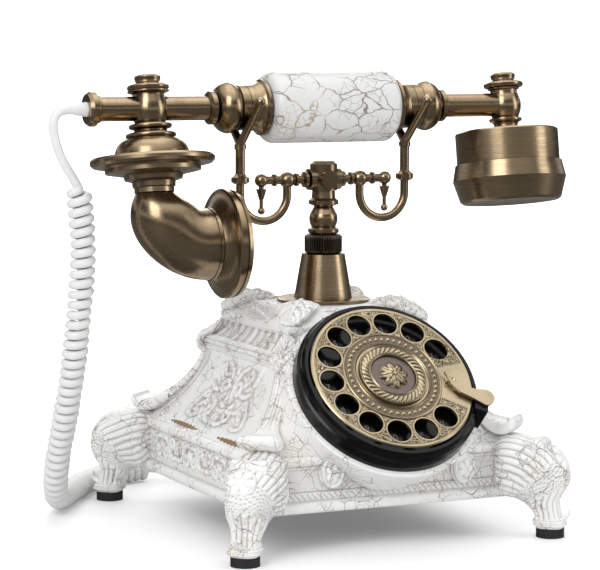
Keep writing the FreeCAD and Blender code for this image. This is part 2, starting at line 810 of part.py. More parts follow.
def cradle_pendants():
    drops = []
    for side in (-1, 1):
        top = dim["crossbar_z"] - 3.0
        x = dim["end_ball_x"] * side
        bell = taper(1.2, 2.8, 5.5, spot(x, 0, top - 7.0))
        stick = rod(1.0, 5.0, spot(x, 0, top - 11.5))
        bead = ball(1.9, spot(x, 0, top - 13.0))
        neck = rod(1.3, 2.4, spot(x, 0, top - 1.9))
        drops.append(fused([bell, stick, bead, neck]))
    keep(cut(grouped(drops), parts["cradle_crossbar"]), "cradle_pendants")


def cradle_hook(side, name):
    inner, outer = dim["hook_inner_x"], neck_x
    bend = (outer - inner) * 0.5
    tube = dim["hook_tube_radius"]
    half_ring = doc.addObject("Part::Torus", "Bend")
    bind(half_ring, "Radius1", bend)
    bind(half_ring, "Radius2", tube)
    half_ring.Angle3 = 180.0
    half_ring.Placement = spot((inner + bend) * side, 0, dim["hook_bend_z"],
                               FreeCAD.Rotation(FreeCAD.Vector(1, 0, 0), -90))
    rise = dim["crossbar_z"] - dim["hook_bend_z"]
    inner_leg = rod(tube, rise, spot(inner * side, 0, dim["hook_bend_z"]))
    outer_leg = rod(tube, rise, spot(outer * side, 0, dim["hook_bend_z"]))
    collar = turned("collar", [(0, 0), (3.2, 0), (4.7, 1.0), (4.7, 3.4), (3.2, 4.4), (2.5, 5.2),
                               (2.5, fork_base_z - dim["crossbar_z"] - 1.0),
                               (0, fork_base_z - dim["crossbar_z"] - 1.0)],
                    spot(outer * side, 0, dim["crossbar_z"] - 1.5))
    del parts["collar"]
    keep(cut(fused([half_ring, inner_leg, outer_leg, collar]), parts["cradle_crossbar"]), name)


def cradle_fork(side, name):
    rise, spread = float(dim["prong_rise"]), float(dim["prong_half_spread"])
    slant = math.degrees(math.atan2(spread, rise))
    length = math.hypot(rise, spread)
    x = neck_x * side
    base = fork_base_z
    pieces = [rod(3.1, 2.6, spot(x, 0, base - 2.5)), ball(2.6, spot(x, 0, base))]
    for way in (-1, 1):
        turn = FreeCAD.Rotation(FreeCAD.Vector(1, 0, 0), -way * slant)
        pieces.append(rod(2.2, length, spot(x, 0, base, turn)))
        pieces.append(ball(2.6, spot(x, spread * way, base + rise)))
    keep(fused(pieces), name)


# ---------------------------------------------------------------- handset

rod_hole = dim["rod_radius"] + 0.05


def grip_line():
    half = dim["grip_half_length"]
    round_off = 5.0
    outer = dim["grip_radius"]
    turned("handset_grip", [
        (rod_hole, -half), (outer - round_off, -half), (outer, -half + round_off, round_off, -1),
        (outer, half - round_off), (outer - round_off, half, round_off, -1), (rod_hole, half)],
        on_handset(0, 0, along_x))
    cup_length = neck_x - half - 4.1
    ball_start = neck_x + 4.3
    for turn, side, name in ((along_minus_x, -1, "left"), (along_x, 1, "right")):
        turned("grip_cup_" + name, [
            (rod_hole, 0), (13.4, 0), (14.6, 1.2), (14.6, 2.6), (13.4, 3.6),
            (11.9, cup_length, 9.0, 1), (11.7, cup_length + 4.0), (rod_hole, cup_length + 4.0)],
            on_handset(half * side, 0, turn))
        turned("neck_ball_" + name, [
            (rod_hole, -4.1), (11.7, -4.1), (11.7, 0.2), (11.0, 0.4), (13.35, 5.6, 8.0, -1),
            (9.2, 11.6, 8.4, -1), (7.0, 12.4), (8.6, 13.2), (8.6, 15.6), (7.2, 16.6),
            (rod_hole, 16.6)],
            on_handset(ball_start * side, 0, turn))


def handset_rod():
    left = mouth_x + 27.4
    right = ear_x - 1.0
    turned("handset_tube", ring_outline(dim["rod_radius"] - 1.75, dim["rod_radius"], 0,
                                        left + right), on_handset(-left, 0, along_x))
    turned("cord_end_collar", [(2.5, 0), (7.0, 0), (7.0, 1.2), (8.8, 2.4), (8.8, 5.0),
                               (7.6, 6.6), (2.5, 6.6)], on_handset(-left, 0, along_minus_x))
    turned("cord_gland", [(0, -4.0), (2.45, -4.0), (2.45, 0), (3.8, 0), (3.1, 5.0),
                          (cord, 8.4), (0, 8.4)], on_handset(-left - 6.6, 0, along_minus_x))


cord = dim["cord_radius"]


def bored(turned_piece, x, label):
    # the horizontal rod passes through the piece
    del parts[turned_piece.Label]
    bore = rod(rod_hole, 60.0, on_handset(x - 30.0, 0, along_x))
    keep(cut(turned_piece, bore), label)


def mouthpiece():
    x = -mouth_x
    drop = on_handset(x, 0, upside_down)
    boss = turned("mouth_barrel", [
        (0, -9.4), (9.3, -9.4), (9.3, 7.6), (11.2, 8.2), (11.2, 11.2), (8.0, 12.2), (8.0, 12.8),
        (12.8, 13.4), (12.8, 15.2), (17.4, 18.6, 9.5, -1), (19.2, 23.6, 12.0, -1), (0, 23.6)],
        drop)
    bored(boss, x, "mouthpiece_boss")
    turned("mouthpiece_finial", [
        (0, 9.4), (10.6, 9.4), (10.6, 13.0), (8.0, 14.2), (6.4, 14.6),
        *dome(6.4, as_size(17.6), 1.4)], on_handset(x))
    disc = dim["saucer_radius"]
    turned("mouthpiece_saucer", [
        (0, 23.6), (19.6, 23.6), (24.0, 24.8), (disc - 1.0, 24.8), (disc, 26.0), (disc, 27.6),
        (disc - 1.4, 29.0), (25.4, 29.4), (24.6, 30.4), (24.6, 32.4), (15.4, 34.2),
        (14.8, 36.4), (11.2, 37.4), (11.0, 40.0), (10.2, 40.6), (10.2, 43.0), (0, 43.0)], drop)

    bend = float(dim["elbow_radius"])
    shell = doc.addObject("Part::Feature", "ElbowHorn")
    rings = []
    for turn, radius in ((0, 9.6), (11, 13.2), (25, 16.0), (45, 17.2), (68, 17.9), (90, 18.5)):
        angle = math.radians(turn)
        centre = FreeCAD.Vector(bend * (1 - math.cos(angle)), 0, -bend * math.sin(angle))
        way = FreeCAD.Vector(math.sin(angle), 0, -math.cos(angle))
        rings.append(Part.Wire(Part.makeCircle(radius, centre, way)))
    shell.Shape = Part.makeLoft(rings, True, False)
    shell.Placement = on_handset(x, 43.0)
    keep(shell, "mouthpiece_elbow")

    bell = dim["bell_radius"]
    mouth = on_handset(x + dim["elbow_radius"], 43.0 + dim["elbow_radius"], along_x)
    turned("mouthpiece_bell", [
        (0, 0), (18.9, 0), (18.9, 1.6), (18.4, 2.2), (bell - 1.0, 7.2, 14.0, 1), (bell, 8.0),
        (bell, 10.4), (bell - 0.9, 10.8), (bell - 0.9, 11.6), (bell - 0.3, 12.0),
        (bell - 0.9, 14.2), (bell - 2.6, 14.6), (22.6, 11.0), (21.4, 9.0), (16.4, 9.0),
        (16.4, 3.0), (0, 3.0)], mouth)
    turned("microphone_capsule", [(0, 3.0), (11.0, 3.0), (11.0, 7.4), (0, 7.4)], mouth)
    grille = turned("grille_disc", [(0, 9.0), (21.2, 9.0), *dome(21.2, as_size(10.0), 1.2)],
                    mouth)
    del parts["grille_disc"]
    keep(cut(grille, grouped(ring_of_holes(mouth, 6.0, 8) + ring_of_holes(mouth, 11.5, 14))),
         "mouthpiece_grille")


def ring_of_holes(place, reach, count):
    holes = []
    for index in range(count):
        angle = 2.0 * math.pi * index / count
        offset = FreeCAD.Vector(reach * math.cos(angle), reach * math.sin(angle), 0)
        holes.append(rod(1.3, 30.0, place * FreeCAD.Placement(offset, FreeCAD.Rotation())))
    return holes


def earpiece():
    x = ear_x
    drop = on_handset(x, 0, upside_down)
    boss = turned("ear_barrel", [
        (0, -9.4), (7.6, -9.4), (8.8, -6.0), (8.8, 6.0), (7.4, 7.0), (8.8, 7.4), (8.8, 9.2),
        (6.6, 10.4), (6.6, 12.6), (9.0, 14.4, 4.0, 1), (0, 14.4)], drop)
    bored(boss, x - 31.0, "earpiece_boss")
    turned("earpiece_finial", [
        (0, 9.4), (10.6, 9.4), (10.6, 12.0), (8.0, 13.0), (6.2, 13.4),
        *dome(6.2, as_size(16.6), 1.4)], on_handset(x))
    drum = dim["receiver_radius"] - 2.85
    turned("receiver_drum", [(0, 14.4), (drum - 0.8, 14.4), (drum, 15.2), (drum, 32.0),
                             (drum - 2.6, 32.0), (drum - 2.6, 17.4), (0, 17.4)], drop)
    widest = dim["receiver_radius"]
    turned("receiver_cap", [
        (drum - 2.6, 32.02), (drum + 1.0, 32.02), (widest, 40.8), (drum - 0.4, 52.0),
        *dome(drum - 2.0, as_size(53.2), -1.8), (0, 49.0), (drum - 2.6, 49.0)], drop)
    turned("receiver_speaker", [(0, 38.0), (19.0, 38.0), (19.0, 48.9), (0, 48.9)], drop)


# ---------------------------------------------------------------- handset cord

# Routes in millimetres, chosen along the hanging cord, from the handset to the rear jack.
upper_route = [
    (-141.05, 2.8, 219.6), (-147.2, 2.8, 219.6), (-150.9, 2.4, 213.2), (-149.4, 2.1, 203.6),
    (-146.2, 1.9, 194.6), (-141.4, 2.3, 187.4), (-137.4, 2.8, 180.6),
]
coil_route = [
    (-137.4, 2.8, 180.6), (-134.3, 2.8, 157.0), (-134.9, 3.9, 134.6), (-136.1, 6.5, 114.0),
    (-136.4, 11.5, 94.0), (-136.6, 18.7, 75.4), (-136.6, 27.7, 56.6), (-136.3, 38.5, 39.0),
    (-134.2, 49.7, 22.4), (-128.6, 64.1, 9.4), (-117.6, 83.1, 6.85), (-104.4, 102.1, 6.85),
    (-88.4, 122.1, 6.85), (-68.0, 136.1, 6.85), (-46.0, 142.1, 6.85),
]
lower_route = [
    (-46.0, 142.1, 6.85), (-34.6, 143.3, 5.2), (-24.6, 137.5, 8.6), (-21.6, 125.5, 17.4),
    (-22.0, 113.5, 27.2), (-22.0, 101.7, 33.2), (-22.0, 93.7, 34.0),
]


# The routes are drawn for this place of the handset, the feet and the rear wall, and stretch with them.
drawn_axis_z = 219.6
drawn_mouth_x = 100.6
drawn_foot_x = 86.0
drawn_rear_y = 77.935
lift = float(dim["handset_axis_z"]) - drawn_axis_z
reach_out = float(mouth_x) - drawn_mouth_x
aside = float(foot_half_x) - drawn_foot_x
push = float(rear_wall_y) - drawn_rear_y
start_z = coil_route[0][2]
end_x, end_z = coil_route[-1][0], coil_route[-1][2]


def hanging(x, y, z):
    # the top of the coil follows the handset and its foot follows the base
    up = (z - end_z) / (start_z - end_z)
    down = 1.0 - up
    return x - reach_out * up - aside * down, y + push * down, z + lift * up


def lying(x, y, z):
    share = (x - handset_jack_x) / (end_x - handset_jack_x)
    return x - aside * share, y + push, z


upper_route = [(x - reach_out, y, z + lift) for x, y, z in upper_route]
coil_route = [hanging(*point) for point in coil_route]
lower_route = [lying(*point) for point in lower_route]


def route_wire(route, name):
    # straight runs joined by tangent arcs, each as large as its two runs allow
    points = [FreeCAD.Vector(*p) for p in route]
    edges = []
    here = points[0]
    radii = []
    for before, corner, after in zip(points, points[1:], points[2:]):
        run_in, run_out = corner - before, after - corner
        turn = run_in.getAngle(run_out)
        reach = 0.45 * min(run_in.Length, run_out.Length)
        radii.append(reach / math.tan(0.5 * turn))
        way_in, way_out = run_in.normalize(), run_out.normalize()
        start, end = corner - way_in * reach, corner + way_out * reach
        bisector = (way_out - way_in).normalize()
        sagitta = radii[-1] / math.cos(0.5 * turn) - radii[-1]
        middle = corner + bisector * sagitta
        edges.append(Part.LineSegment(here, start).toShape())
        edges.append(Part.Arc(start, middle, end).toShape())
        here = end
    edges.append(Part.LineSegment(here, points[-1]).toShape())
    print(name, "bend radii", ["%.1f" % radius for radius in radii])
    return Part.Wire(edges)


def route_tube(route, radius, label):
    path = route_wire(route, label)
    start = FreeCAD.Vector(*route[0])
    way = FreeCAD.Vector(*route[1]) - start
    ring = Part.Wire(Part.makeCircle(float(radius), start, way))
    shape = path.makePipeShell([ring], True, False)
    expected = math.pi * float(radius) ** 2 * path.Length
    print(label, "length %.1f" % path.Length, "volume ratio %.3f" % (shape.Volume / expected))
    tube = doc.addObject("Part::Feature", label)
    tube.Shape = shape
    keep(tube, label)


def handset_cord():
    route_tube(upper_route, cord, "cord_upper_lead")
    route_tube(coil_route, dim["coil_radius"], "cord_coil")
    route_tube(lower_route, cord, "cord_lower_lead")
    plug = box(plug_width, 11.0, plug_height,
               spot(handset_jack_x, panel_front_y - 4.8, jack_z - 0.5 * plug_height))
    # the strain relief reaches from the plug to the end of the lead
    boot_start = float(panel_front_y + 0.7 + dim["base_middle_y"])
    boot = taper(3.4, cord, lower_route[-1][1] - boot_start, FreeCAD.Placement(
        FreeCAD.Vector(handset_jack_x, boot_start, jack_z),
        FreeCAD.Rotation(FreeCAD.Vector(1, 0, 0), -90)))
    keep(fused([plug, boot]), "cord_plug")


# ---------------------------------------------------------------- assembly

base_housing()
foot_pads()
bottom_plate()
plate_screws()
circuit_board()
ringer()
rear_jack_panel()
dial_case()
finger_stop()
finger_wheel()
stem_support()
hook_switch()
cradle_stem()
cradle_hub()
cradle_crossbar()
cradle_pendants()
cradle_hook(-1, "cradle_hook_left")
cradle_hook(1, "cradle_hook_right")
cradle_fork(-1, "cradle_fork_left")
cradle_fork(1, "cradle_fork_right")
grip_line()
handset_rod()
mouthpiece()
earpiece()
handset_cord()
doc.recompute()

for thing in doc.Objects:
    if "Invalid" in thing.State or "Error" in thing.State:
        raise RuntimeError("%s (%s) failed" % (thing.Name, thing.Label))
for label, thing in parts.items():
    if thing.Shape.isNull() or not thing.Shape.isValid():
        raise RuntimeError(label + " has no valid shape")

os.makedirs("parts", exist_ok=True)
for label, thing in sorted(parts.items()):
    thing.Shape.exportStep("parts/%s.step" % label)
print(len(parts), "nodes")
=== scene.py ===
import json
import math

import bmesh
import bpy
import numpy as np
from mathutils import Matrix, Vector

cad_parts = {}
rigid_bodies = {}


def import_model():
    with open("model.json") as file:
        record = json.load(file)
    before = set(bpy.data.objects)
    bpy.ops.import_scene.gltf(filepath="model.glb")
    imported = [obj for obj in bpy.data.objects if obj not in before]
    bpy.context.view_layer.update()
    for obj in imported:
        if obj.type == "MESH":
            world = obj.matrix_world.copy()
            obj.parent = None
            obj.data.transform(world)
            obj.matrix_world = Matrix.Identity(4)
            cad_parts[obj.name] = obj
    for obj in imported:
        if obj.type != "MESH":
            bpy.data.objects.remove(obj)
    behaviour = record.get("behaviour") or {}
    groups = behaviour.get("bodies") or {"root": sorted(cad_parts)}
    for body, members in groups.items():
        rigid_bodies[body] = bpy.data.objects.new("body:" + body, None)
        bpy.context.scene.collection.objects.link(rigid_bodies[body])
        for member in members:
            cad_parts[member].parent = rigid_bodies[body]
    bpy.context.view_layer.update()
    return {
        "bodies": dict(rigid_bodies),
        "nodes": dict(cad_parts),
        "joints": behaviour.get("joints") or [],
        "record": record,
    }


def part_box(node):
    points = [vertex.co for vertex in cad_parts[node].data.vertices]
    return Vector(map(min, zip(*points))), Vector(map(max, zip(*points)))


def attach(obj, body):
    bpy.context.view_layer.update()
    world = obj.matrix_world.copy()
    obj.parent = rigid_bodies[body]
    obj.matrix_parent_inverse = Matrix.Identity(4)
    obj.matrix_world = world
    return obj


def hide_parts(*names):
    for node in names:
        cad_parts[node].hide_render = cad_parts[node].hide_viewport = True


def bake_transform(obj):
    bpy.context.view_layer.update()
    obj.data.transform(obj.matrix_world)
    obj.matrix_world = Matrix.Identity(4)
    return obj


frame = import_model()
nodes = frame["nodes"]
mm = 0.001
# millimetres: the middle of the base, and the dial's middle with the ways up its face and out of it
midY = 2.8
dialCentre = np.array([0.0, -79.2, 86.9])
dialUp, dialOut = np.array([0, 0.6891, 0.7247]), np.array([0, -0.7247, 0.6891])

view = {"azimuth": 25.4, "elevation": 6.45, "roll": 0.27, "distance": 1324.0, "lens": 149.46,
        "target": (0.0, 2.8, 115.0), "shift": (-0.0383, 0.0317)}


def placeCamera(v):
    # the camera sits on a ball round the target, at the azimuth and elevation, and looks at its middle
    a, e, r = (math.radians(v[k]) for k in ("azimuth", "elevation", "roll"))
    back = np.array([-math.sin(a) * math.cos(e), -math.cos(a) * math.cos(e), math.sin(e)])
    right = np.array([math.cos(a), -math.sin(a), 0.0])
    up = np.cross(back, right)
    across = right * math.cos(r) + up * math.sin(r)
    upward = up * math.cos(r) - right * math.sin(r)
    lens = bpy.data.cameras.new("camera")
    lens.lens, lens.sensor_width = v["lens"], 36.0
    lens.shift_x, lens.shift_y = v["shift"]
    lens.clip_start, lens.clip_end = 0.05, 20.0
    camera = bpy.data.objects.new("camera", lens)
    bpy.context.collection.objects.link(camera)
    place = np.eye(4)
    place[:3, 0], place[:3, 1], place[:3, 2] = across, upward, back
    place[:3, 3] = (np.array(v["target"]) + back * v["distance"]) * mm
    camera.matrix_world = Matrix(place.tolist())
    bpy.context.scene.camera = camera


# metres: each soft box has its place, what it points at, its width and height, and its power
studio = {"world": 0.50, "sky": 1.45, "floor": (0.93, 0.93, 0.935), "underside": 0.12, "ground": 6,
          "boxes": {"key": ((-1.0, -0.8, 0.95), (0, 0, 0.12), (0.7, 0.9), 8.4),
                    "fill": ((1.15, -0.75, 0.5), (0, 0, 0.12), (0.5, 1.0), 3.8),
                    "top": ((0.1, 0.15, 1.5), (0, 0, 0.1), (1.2, 1.2), 3.5),
                    "rim": ((0.5, 1.2, 0.7), (0, 0, 0.15), (0.9, 0.5), 4.0)},
          "walls": [(0.01, 0.04), (0.07, 0.05), (0.13, 0.45), (0.2, 0.52), (0.28, 0.08), (0.5, 0.05),
                    (0.68, 0.62),
                    (0.9, 1.0)]}


# shader nodes
def plug(tree, node, plugs):
    # each plug is a link or a value
    for key, value in plugs.items():
        if isinstance(value, bpy.types.NodeSocket):
            tree.links.new(value, node.inputs[key])
        else:
            node.inputs[key].default_value = value
    return node


def add(tree, kind, plugs=None, **settings):
    # one shader node with its settings and its plugs
    made = tree.nodes.new("ShaderNode" + kind)
    for key, value in settings.items():
        setattr(made, key, value)
    return plug(tree, made, plugs or {})


def blended(tree, amount, first, second):
    return add(tree, "Mix", {0: amount, 6: first, 7: second}, data_type="RGBA").outputs[2]


def sums(tree, how, first, second=0.0, third=0.0, clamp=False):
    return add(tree, "Math", {0: first, 1: second, 2: third}, operation=how, use_clamp=clamp).outputs[0]


def ranged(tree, value, low, high, start=0.0, end=1.0):
    return add(tree, "MapRange", {"Value": value, "From Min": low, "From Max": high, "To Min": start,
                                  "To Max": end},
               interpolation_type="SMOOTHSTEP").outputs[0]


def startMaterial(name):
    made = bpy.data.materials.new(name)
    made.use_nodes = True
    tree = made.node_tree
    return made, tree, tree.nodes["Principled BSDF"], add(tree, "TexCoord").outputs["Object"]


def paleFloor(s):
    # the floor glows towards its far end, past the soft boxes' reach, and runs into the sky without a line
    made, tree, shader, place = startMaterial("pale_floor")
    ray = add(tree, "LightPath").outputs
    reach = add(tree, "VectorMath", {0: place}, operation="LENGTH").outputs["Value"]
    glow = add(tree, "MapRange", {"Value": reach, "From Min": 0.3, "From Max": 1.3,
                                  "To Min": 0.14}).outputs[0]
    # the glow reaches camera rays only, and its low level near the object is painted light that pales the
    # cast shadow there
    glow = sums(tree, "MULTIPLY", glow, ray["Is Camera Ray"])
    # polished metal sees a darker floor
    under = blended(tree, ray["Is Glossy Ray"], (*s["floor"], 1), (s["underside"],) * 3 + (1,))
    plug(tree, shader, {"Base Color": under, "Roughness": 0.6, "Emission Color": glow,
                        "Emission Strength": 1.0})
    return made


def softBox(name, place, aim, size, power):
    lamp = bpy.data.lights.new(name, "AREA")
    lamp.shape, lamp.size, lamp.size_y, lamp.energy = "RECTANGLE", size[0], size[1], power
    made = bpy.data.objects.new(name, lamp)
    bpy.context.collection.objects.link(made)
    made.location = place
    made.rotation_euler = (Vector(aim) - Vector(place)).to_track_quat("-Z", "Y").to_euler()


def setStudio(s):
    # a pale floor, a sky that looks white, and soft boxes
    scene = bpy.context.scene
    scene.view_settings.view_transform = "Standard"
    world = bpy.data.worlds.new("studio")
    scene.world = world
    world.use_nodes = True
    tree = world.node_tree
    sky = tree.nodes["Background"]
    ray = add(tree, "LightPath").outputs
    where = add(tree, "SeparateXYZ", {0: add(tree, "TexCoord").outputs["Generated"]}).outputs
    ramp = add(tree, "ValToRGB", {0: where[2]})  # what polished metal sees: dark walls, paler above
    for place, grey in s["walls"]:
        stop = ramp.color_ramp.elements.new(place)
        stop.color = (grey, grey * 0.99, grey * 0.97, 1)
    shown = blended(tree, ray["Is Glossy Ray"], (s["world"],) * 3 + (1,), ramp.outputs[0])
    shown = blended(tree, ray["Is Camera Ray"], shown, (1, 1, 1, 1))
    plug(tree, sky, {"Color": shown, "Strength": s["sky"]})
    floor = bpy.data.meshes.new("floor")
    corner = s["ground"]
    floor.from_pydata([(-corner, -corner, 0), (corner, -corner, 0), (corner, corner, 0),
                       (-corner, corner, 0)], [],
                      [(0, 1, 2, 3)])
    ground = bpy.data.objects.new("floor", floor)
    bpy.context.collection.objects.link(ground)
    floor.materials.append(paleFloor(s))
    for name, settings in s["boxes"].items():
        softBox(name, *settings)


placeCamera(view)
setStudio(studio)
print("camera, floor and light set")


# shapes as grids of points
def surface(name, grid, body="base", closeRows=False, closeColumns=False, poles=False, outward=True,
            marks=None,
            crease=48.0, hidden=None):
    # neighbouring grid points are joined with quads, and either direction may close on itself
    rows, columns = grid.shape[:2]
    index = np.arange(rows * columns).reshape(rows, columns)
    if closeRows:
        index = np.vstack([index, index[:1]])
    if closeColumns:
        index = np.hstack([index, index[:, :1]])
    corners = [index[:-1, :-1], index[:-1, 1:], index[1:, 1:], index[1:, :-1]]
    faces = np.stack(corners, -1).reshape(-1, 4)
    if hidden is not None:
        faces = faces[~hidden.ravel()[faces].all(1)]
    mesh = bpy.data.meshes.new(name)
    mesh.from_pydata((grid.reshape(-1, 3) * mm).tolist(), [], faces.tolist())
    for mark, values in (marks or {}).items():
        layer = mesh.attributes.new(mark, "FLOAT", "POINT")
        layer.data.foreach_set("value", np.ascontiguousarray(values, np.float32).ravel())
    shape = bmesh.new()
    shape.from_mesh(mesh)
    if poles:
        bmesh.ops.remove_doubles(shape, verts=shape.verts, dist=2e-6)
    if outward:
        bmesh.ops.recalc_face_normals(shape, faces=shape.faces)
    shape.to_mesh(mesh)
    shape.free()
    mesh.shade_smooth()
    mesh.set_sharp_from_angle(angle=math.radians(crease))
    piece = bpy.data.objects.new(name, mesh)
    bpy.context.collection.objects.link(piece)
    if body:
        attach(piece, body)
    return piece


def finish(piece, material, slot, *replaced):
    piece.data.materials.clear()
    piece.data.materials.append(material)
    if replaced:
        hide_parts(*replaced)
    return piece


def smoothStep(low, high, value):
    t = np.clip((value - low) / (high - low), 0.0, 1.0)
    return t * t * (3 - 2 * t)


def flowing(stations, count):
    # a smooth line through the stations: each span blends two parabolas that share its ends
    p = np.asarray(stations, float)
    p = np.vstack([2 * p[0] - p[1], p, 2 * p[-1] - p[-2]])
    t = np.linspace(0, len(p) - 3 - 1e-9, count)
    i = t.astype(int)
    f = (t - i)[:, None]
    a, b, c, d = p[i], p[i + 1], p[i + 2], p[i + 3]
    return 0.5 * (2 * b + (c - a) * f + (2 * a - 5 * b + 4 * c - d) * f ** 2
                  + (3 * b - a - 3 * c + d) * f ** 3)


def spiral(centre, radii, angles, count=22):
    # the radius and the angle both run evenly from one end to the other
    t = np.linspace(0, 1, count)
    r = radii[0] + (radii[1] - radii[0]) * t
    a = np.radians(angles[0] + (angles[1] - angles[0]) * t)
    return np.stack([centre[0] + r * np.cos(a), centre[1] + r * np.sin(a)], -1)


def nearness(p, q, lines, width):
    # 1 on a line and 0 a width away, round topped: the root of 1 less the square of distance over width
    flat = np.stack([p.ravel(), q.ravel()], -1)
    best = np.full(len(flat), 1e9)
    for line in lines:
        start, step = line[:-1], np.diff(line, axis=0)
        long = (step ** 2).sum(-1) + 1e-12
        away = flat[:, None] - start[None]
        t = np.clip((away * step).sum(-1) / long, 0, 1)
        gap = ((away - t[..., None] * step) ** 2).sum(-1)
        best = np.minimum(best, gap.min(-1))
    return np.sqrt(np.clip(1 - best / width ** 2, 0, 1)).reshape(p.shape)


def hollows(height, reach=2):
    # how far a point lies under the mean of its neighbours: painted shade for hollows and recesses
    mean, count = np.zeros_like(height), 0
    for i in range(-reach, reach + 1):
        for j in range(-reach, reach + 1):
            mean += np.roll(np.roll(height, i, 0), j, 1)
            count += 1
    return np.clip((mean / count - height) * 3.0, 0, 1)


# finishes
def newGroup(name, inputs, outputs):
    group = bpy.data.node_groups.new(name, "ShaderNodeTree")
    for label, kind, value in inputs:
        socket = group.interface.new_socket(label, in_out="INPUT", socket_type=kind)
        if value is not None:
            socket.default_value = value
    for label, kind in outputs:
        group.interface.new_socket(label, in_out="OUTPUT", socket_type=kind)
    return group, group.nodes.new("NodeGroupInput").outputs, group.nodes.new("NodeGroupOutput").inputs


def crackleGroup():
    # thin broken lines between cells whose edges a noise has bent
    group, given, out = newGroup("crackle", [("Place", "NodeSocketVector", None),
                                             ("Cells", "NodeSocketFloat", 140.0),
                                             ("Width", "NodeSocketFloat", 0.04),
                                             ("Broken", "NodeSocketFloat", 0.45)],
                                 [("Lines", "NodeSocketFloat")])
    bend = add(group, "TexNoise", {"Vector": given[0], "Scale": 90.0, "Detail": 3.0})
    shift = add(group, "VectorMath", {0: bend.outputs["Color"], 1: (0.5, 0.5, 0.5)}, operation="SUBTRACT")
    scaled = add(group, "VectorMath", {0: shift.outputs[0], "Scale": 0.009}, operation="SCALE")
    place = add(group, "VectorMath", {0: given[0], 1: scaled.outputs[0]}, operation="ADD")
    cells = add(group, "TexVoronoi", {"Vector": place.outputs[0], "Scale": given[1]},
                feature="DISTANCE_TO_EDGE")
    edge = add(group, "MapRange", {"Value": cells.outputs[0], "From Min": 0.0, "From Max": given[2],
                                   "To Min": 1.0, "To Max": 0.0})
    patch = add(group, "TexNoise", {"Vector": given[0], "Scale": 55.0, "Detail": 2.0})
    low = sums(group, "SUBTRACT", given[3], 0.04)
    high = sums(group, "ADD", given[3], 0.04)
    kept = add(group, "MapRange", {"Value": patch.outputs[0], "From Min": low, "From Max": high})
    group.links.new(sums(group, "MULTIPLY", edge.outputs[0], kept.outputs[0]), out[0])
    return group


def mottleGroup():
    # a broad cloud of noise and a fine grain, given out as two values
    group, given, out = newGroup("mottle", [("Place", "NodeSocketVector", None),
                                            ("Size", "NodeSocketFloat", 60.0)],
                                 [("Cloud", "NodeSocketFloat"), ("Grain", "NodeSocketFloat")])
    cloud = add(group, "TexNoise", {"Vector": given[0], "Scale": given[1], "Detail": 4.0, "Roughness": 0.6})
    grain = add(group, "TexNoise", {"Vector": given[0], "Scale": 1500.0, "Detail": 2.0})
    group.links.new(cloud.outputs[0], out[0])
    group.links.new(grain.outputs[0], out[1])
    return group


crackle = crackleGroup()
mottle = mottleGroup()


def placed(tree, group, plugs):
    made = tree.nodes.new("ShaderNodeGroup")
    made.node_tree = group
    return plug(tree, made, plugs).outputs


# the hollow colour is painted shade for the carving's recesses
resin = {"white": (0.87, 0.868, 0.86, 1), "cream": (0.86, 0.83, 0.765, 1), "hollow": (0.46, 0.44, 0.405, 1),
         "line": (0.085, 0.065, 0.045, 1), "wear": (0.25, 0.165, 0.075, 1), "rough": 0.42,
         "lineRough": 0.8, "coat": 0.12}


def castResin(r):
    made, tree, shader, place = startMaterial("cast_resin_white")
    cloud = placed(tree, mottle, {"Place": place, "Size": 28.0})
    colour = blended(tree, ranged(tree, cloud["Cloud"], 0.52, 0.72), r["white"], r["cream"])
    hollow = add(tree, "Attribute", attribute_name="hollow").outputs["Fac"]
    worn = add(tree, "Attribute", attribute_name="wear").outputs["Fac"]
    # painted shade: the hollow mark darkens recesses and the ground between carvings
    colour = blended(tree, sums(tree, "MULTIPLY", hollow, 0.9, clamp=True), colour, r["hollow"])
    wide = placed(tree, crackle, {"Place": place, "Cells": 120.0, "Width": 0.026, "Broken": 0.46})["Lines"]
    fine = placed(tree, crackle, {"Place": place, "Cells": 300.0, "Width": 0.045, "Broken": 0.53})["Lines"]
    lines = sums(tree, "MAXIMUM", wide, sums(tree, "MULTIPLY", fine, 0.65))
    colour = blended(tree, sums(tree, "MULTIPLY", lines, 0.85), colour, r["line"])
    edge = sums(tree, "ADD", worn, sums(tree, "MULTIPLY", cloud["Grain"], 0.25))
    colour = blended(tree, ranged(tree, edge, 0.5, 0.75), colour, r["wear"])
    rough = ranged(tree, lines, 0.0, 1.0, r["rough"], r["lineRough"])
    height = sums(tree, "SUBTRACT", sums(tree, "MULTIPLY", cloud["Grain"], 0.12), lines)
    bump = add(tree, "Bump", {"Height": height, "Strength": 0.5, "Distance": 0.00025})
    plug(tree, shader, {"Base Color": colour, "Roughness": rough, "Normal": bump.outputs[0],
                        "Coat Weight": r["coat"], "Coat Roughness": 0.25})
    return made


# dark is both the tarnish colour and the painted shade colour in nooks
brass = {"bright": (0.42, 0.322, 0.205, 1), "middle": (0.275, 0.198, 0.122, 1),
         "dark": (0.05, 0.032, 0.02, 1), "rough": 0.24}


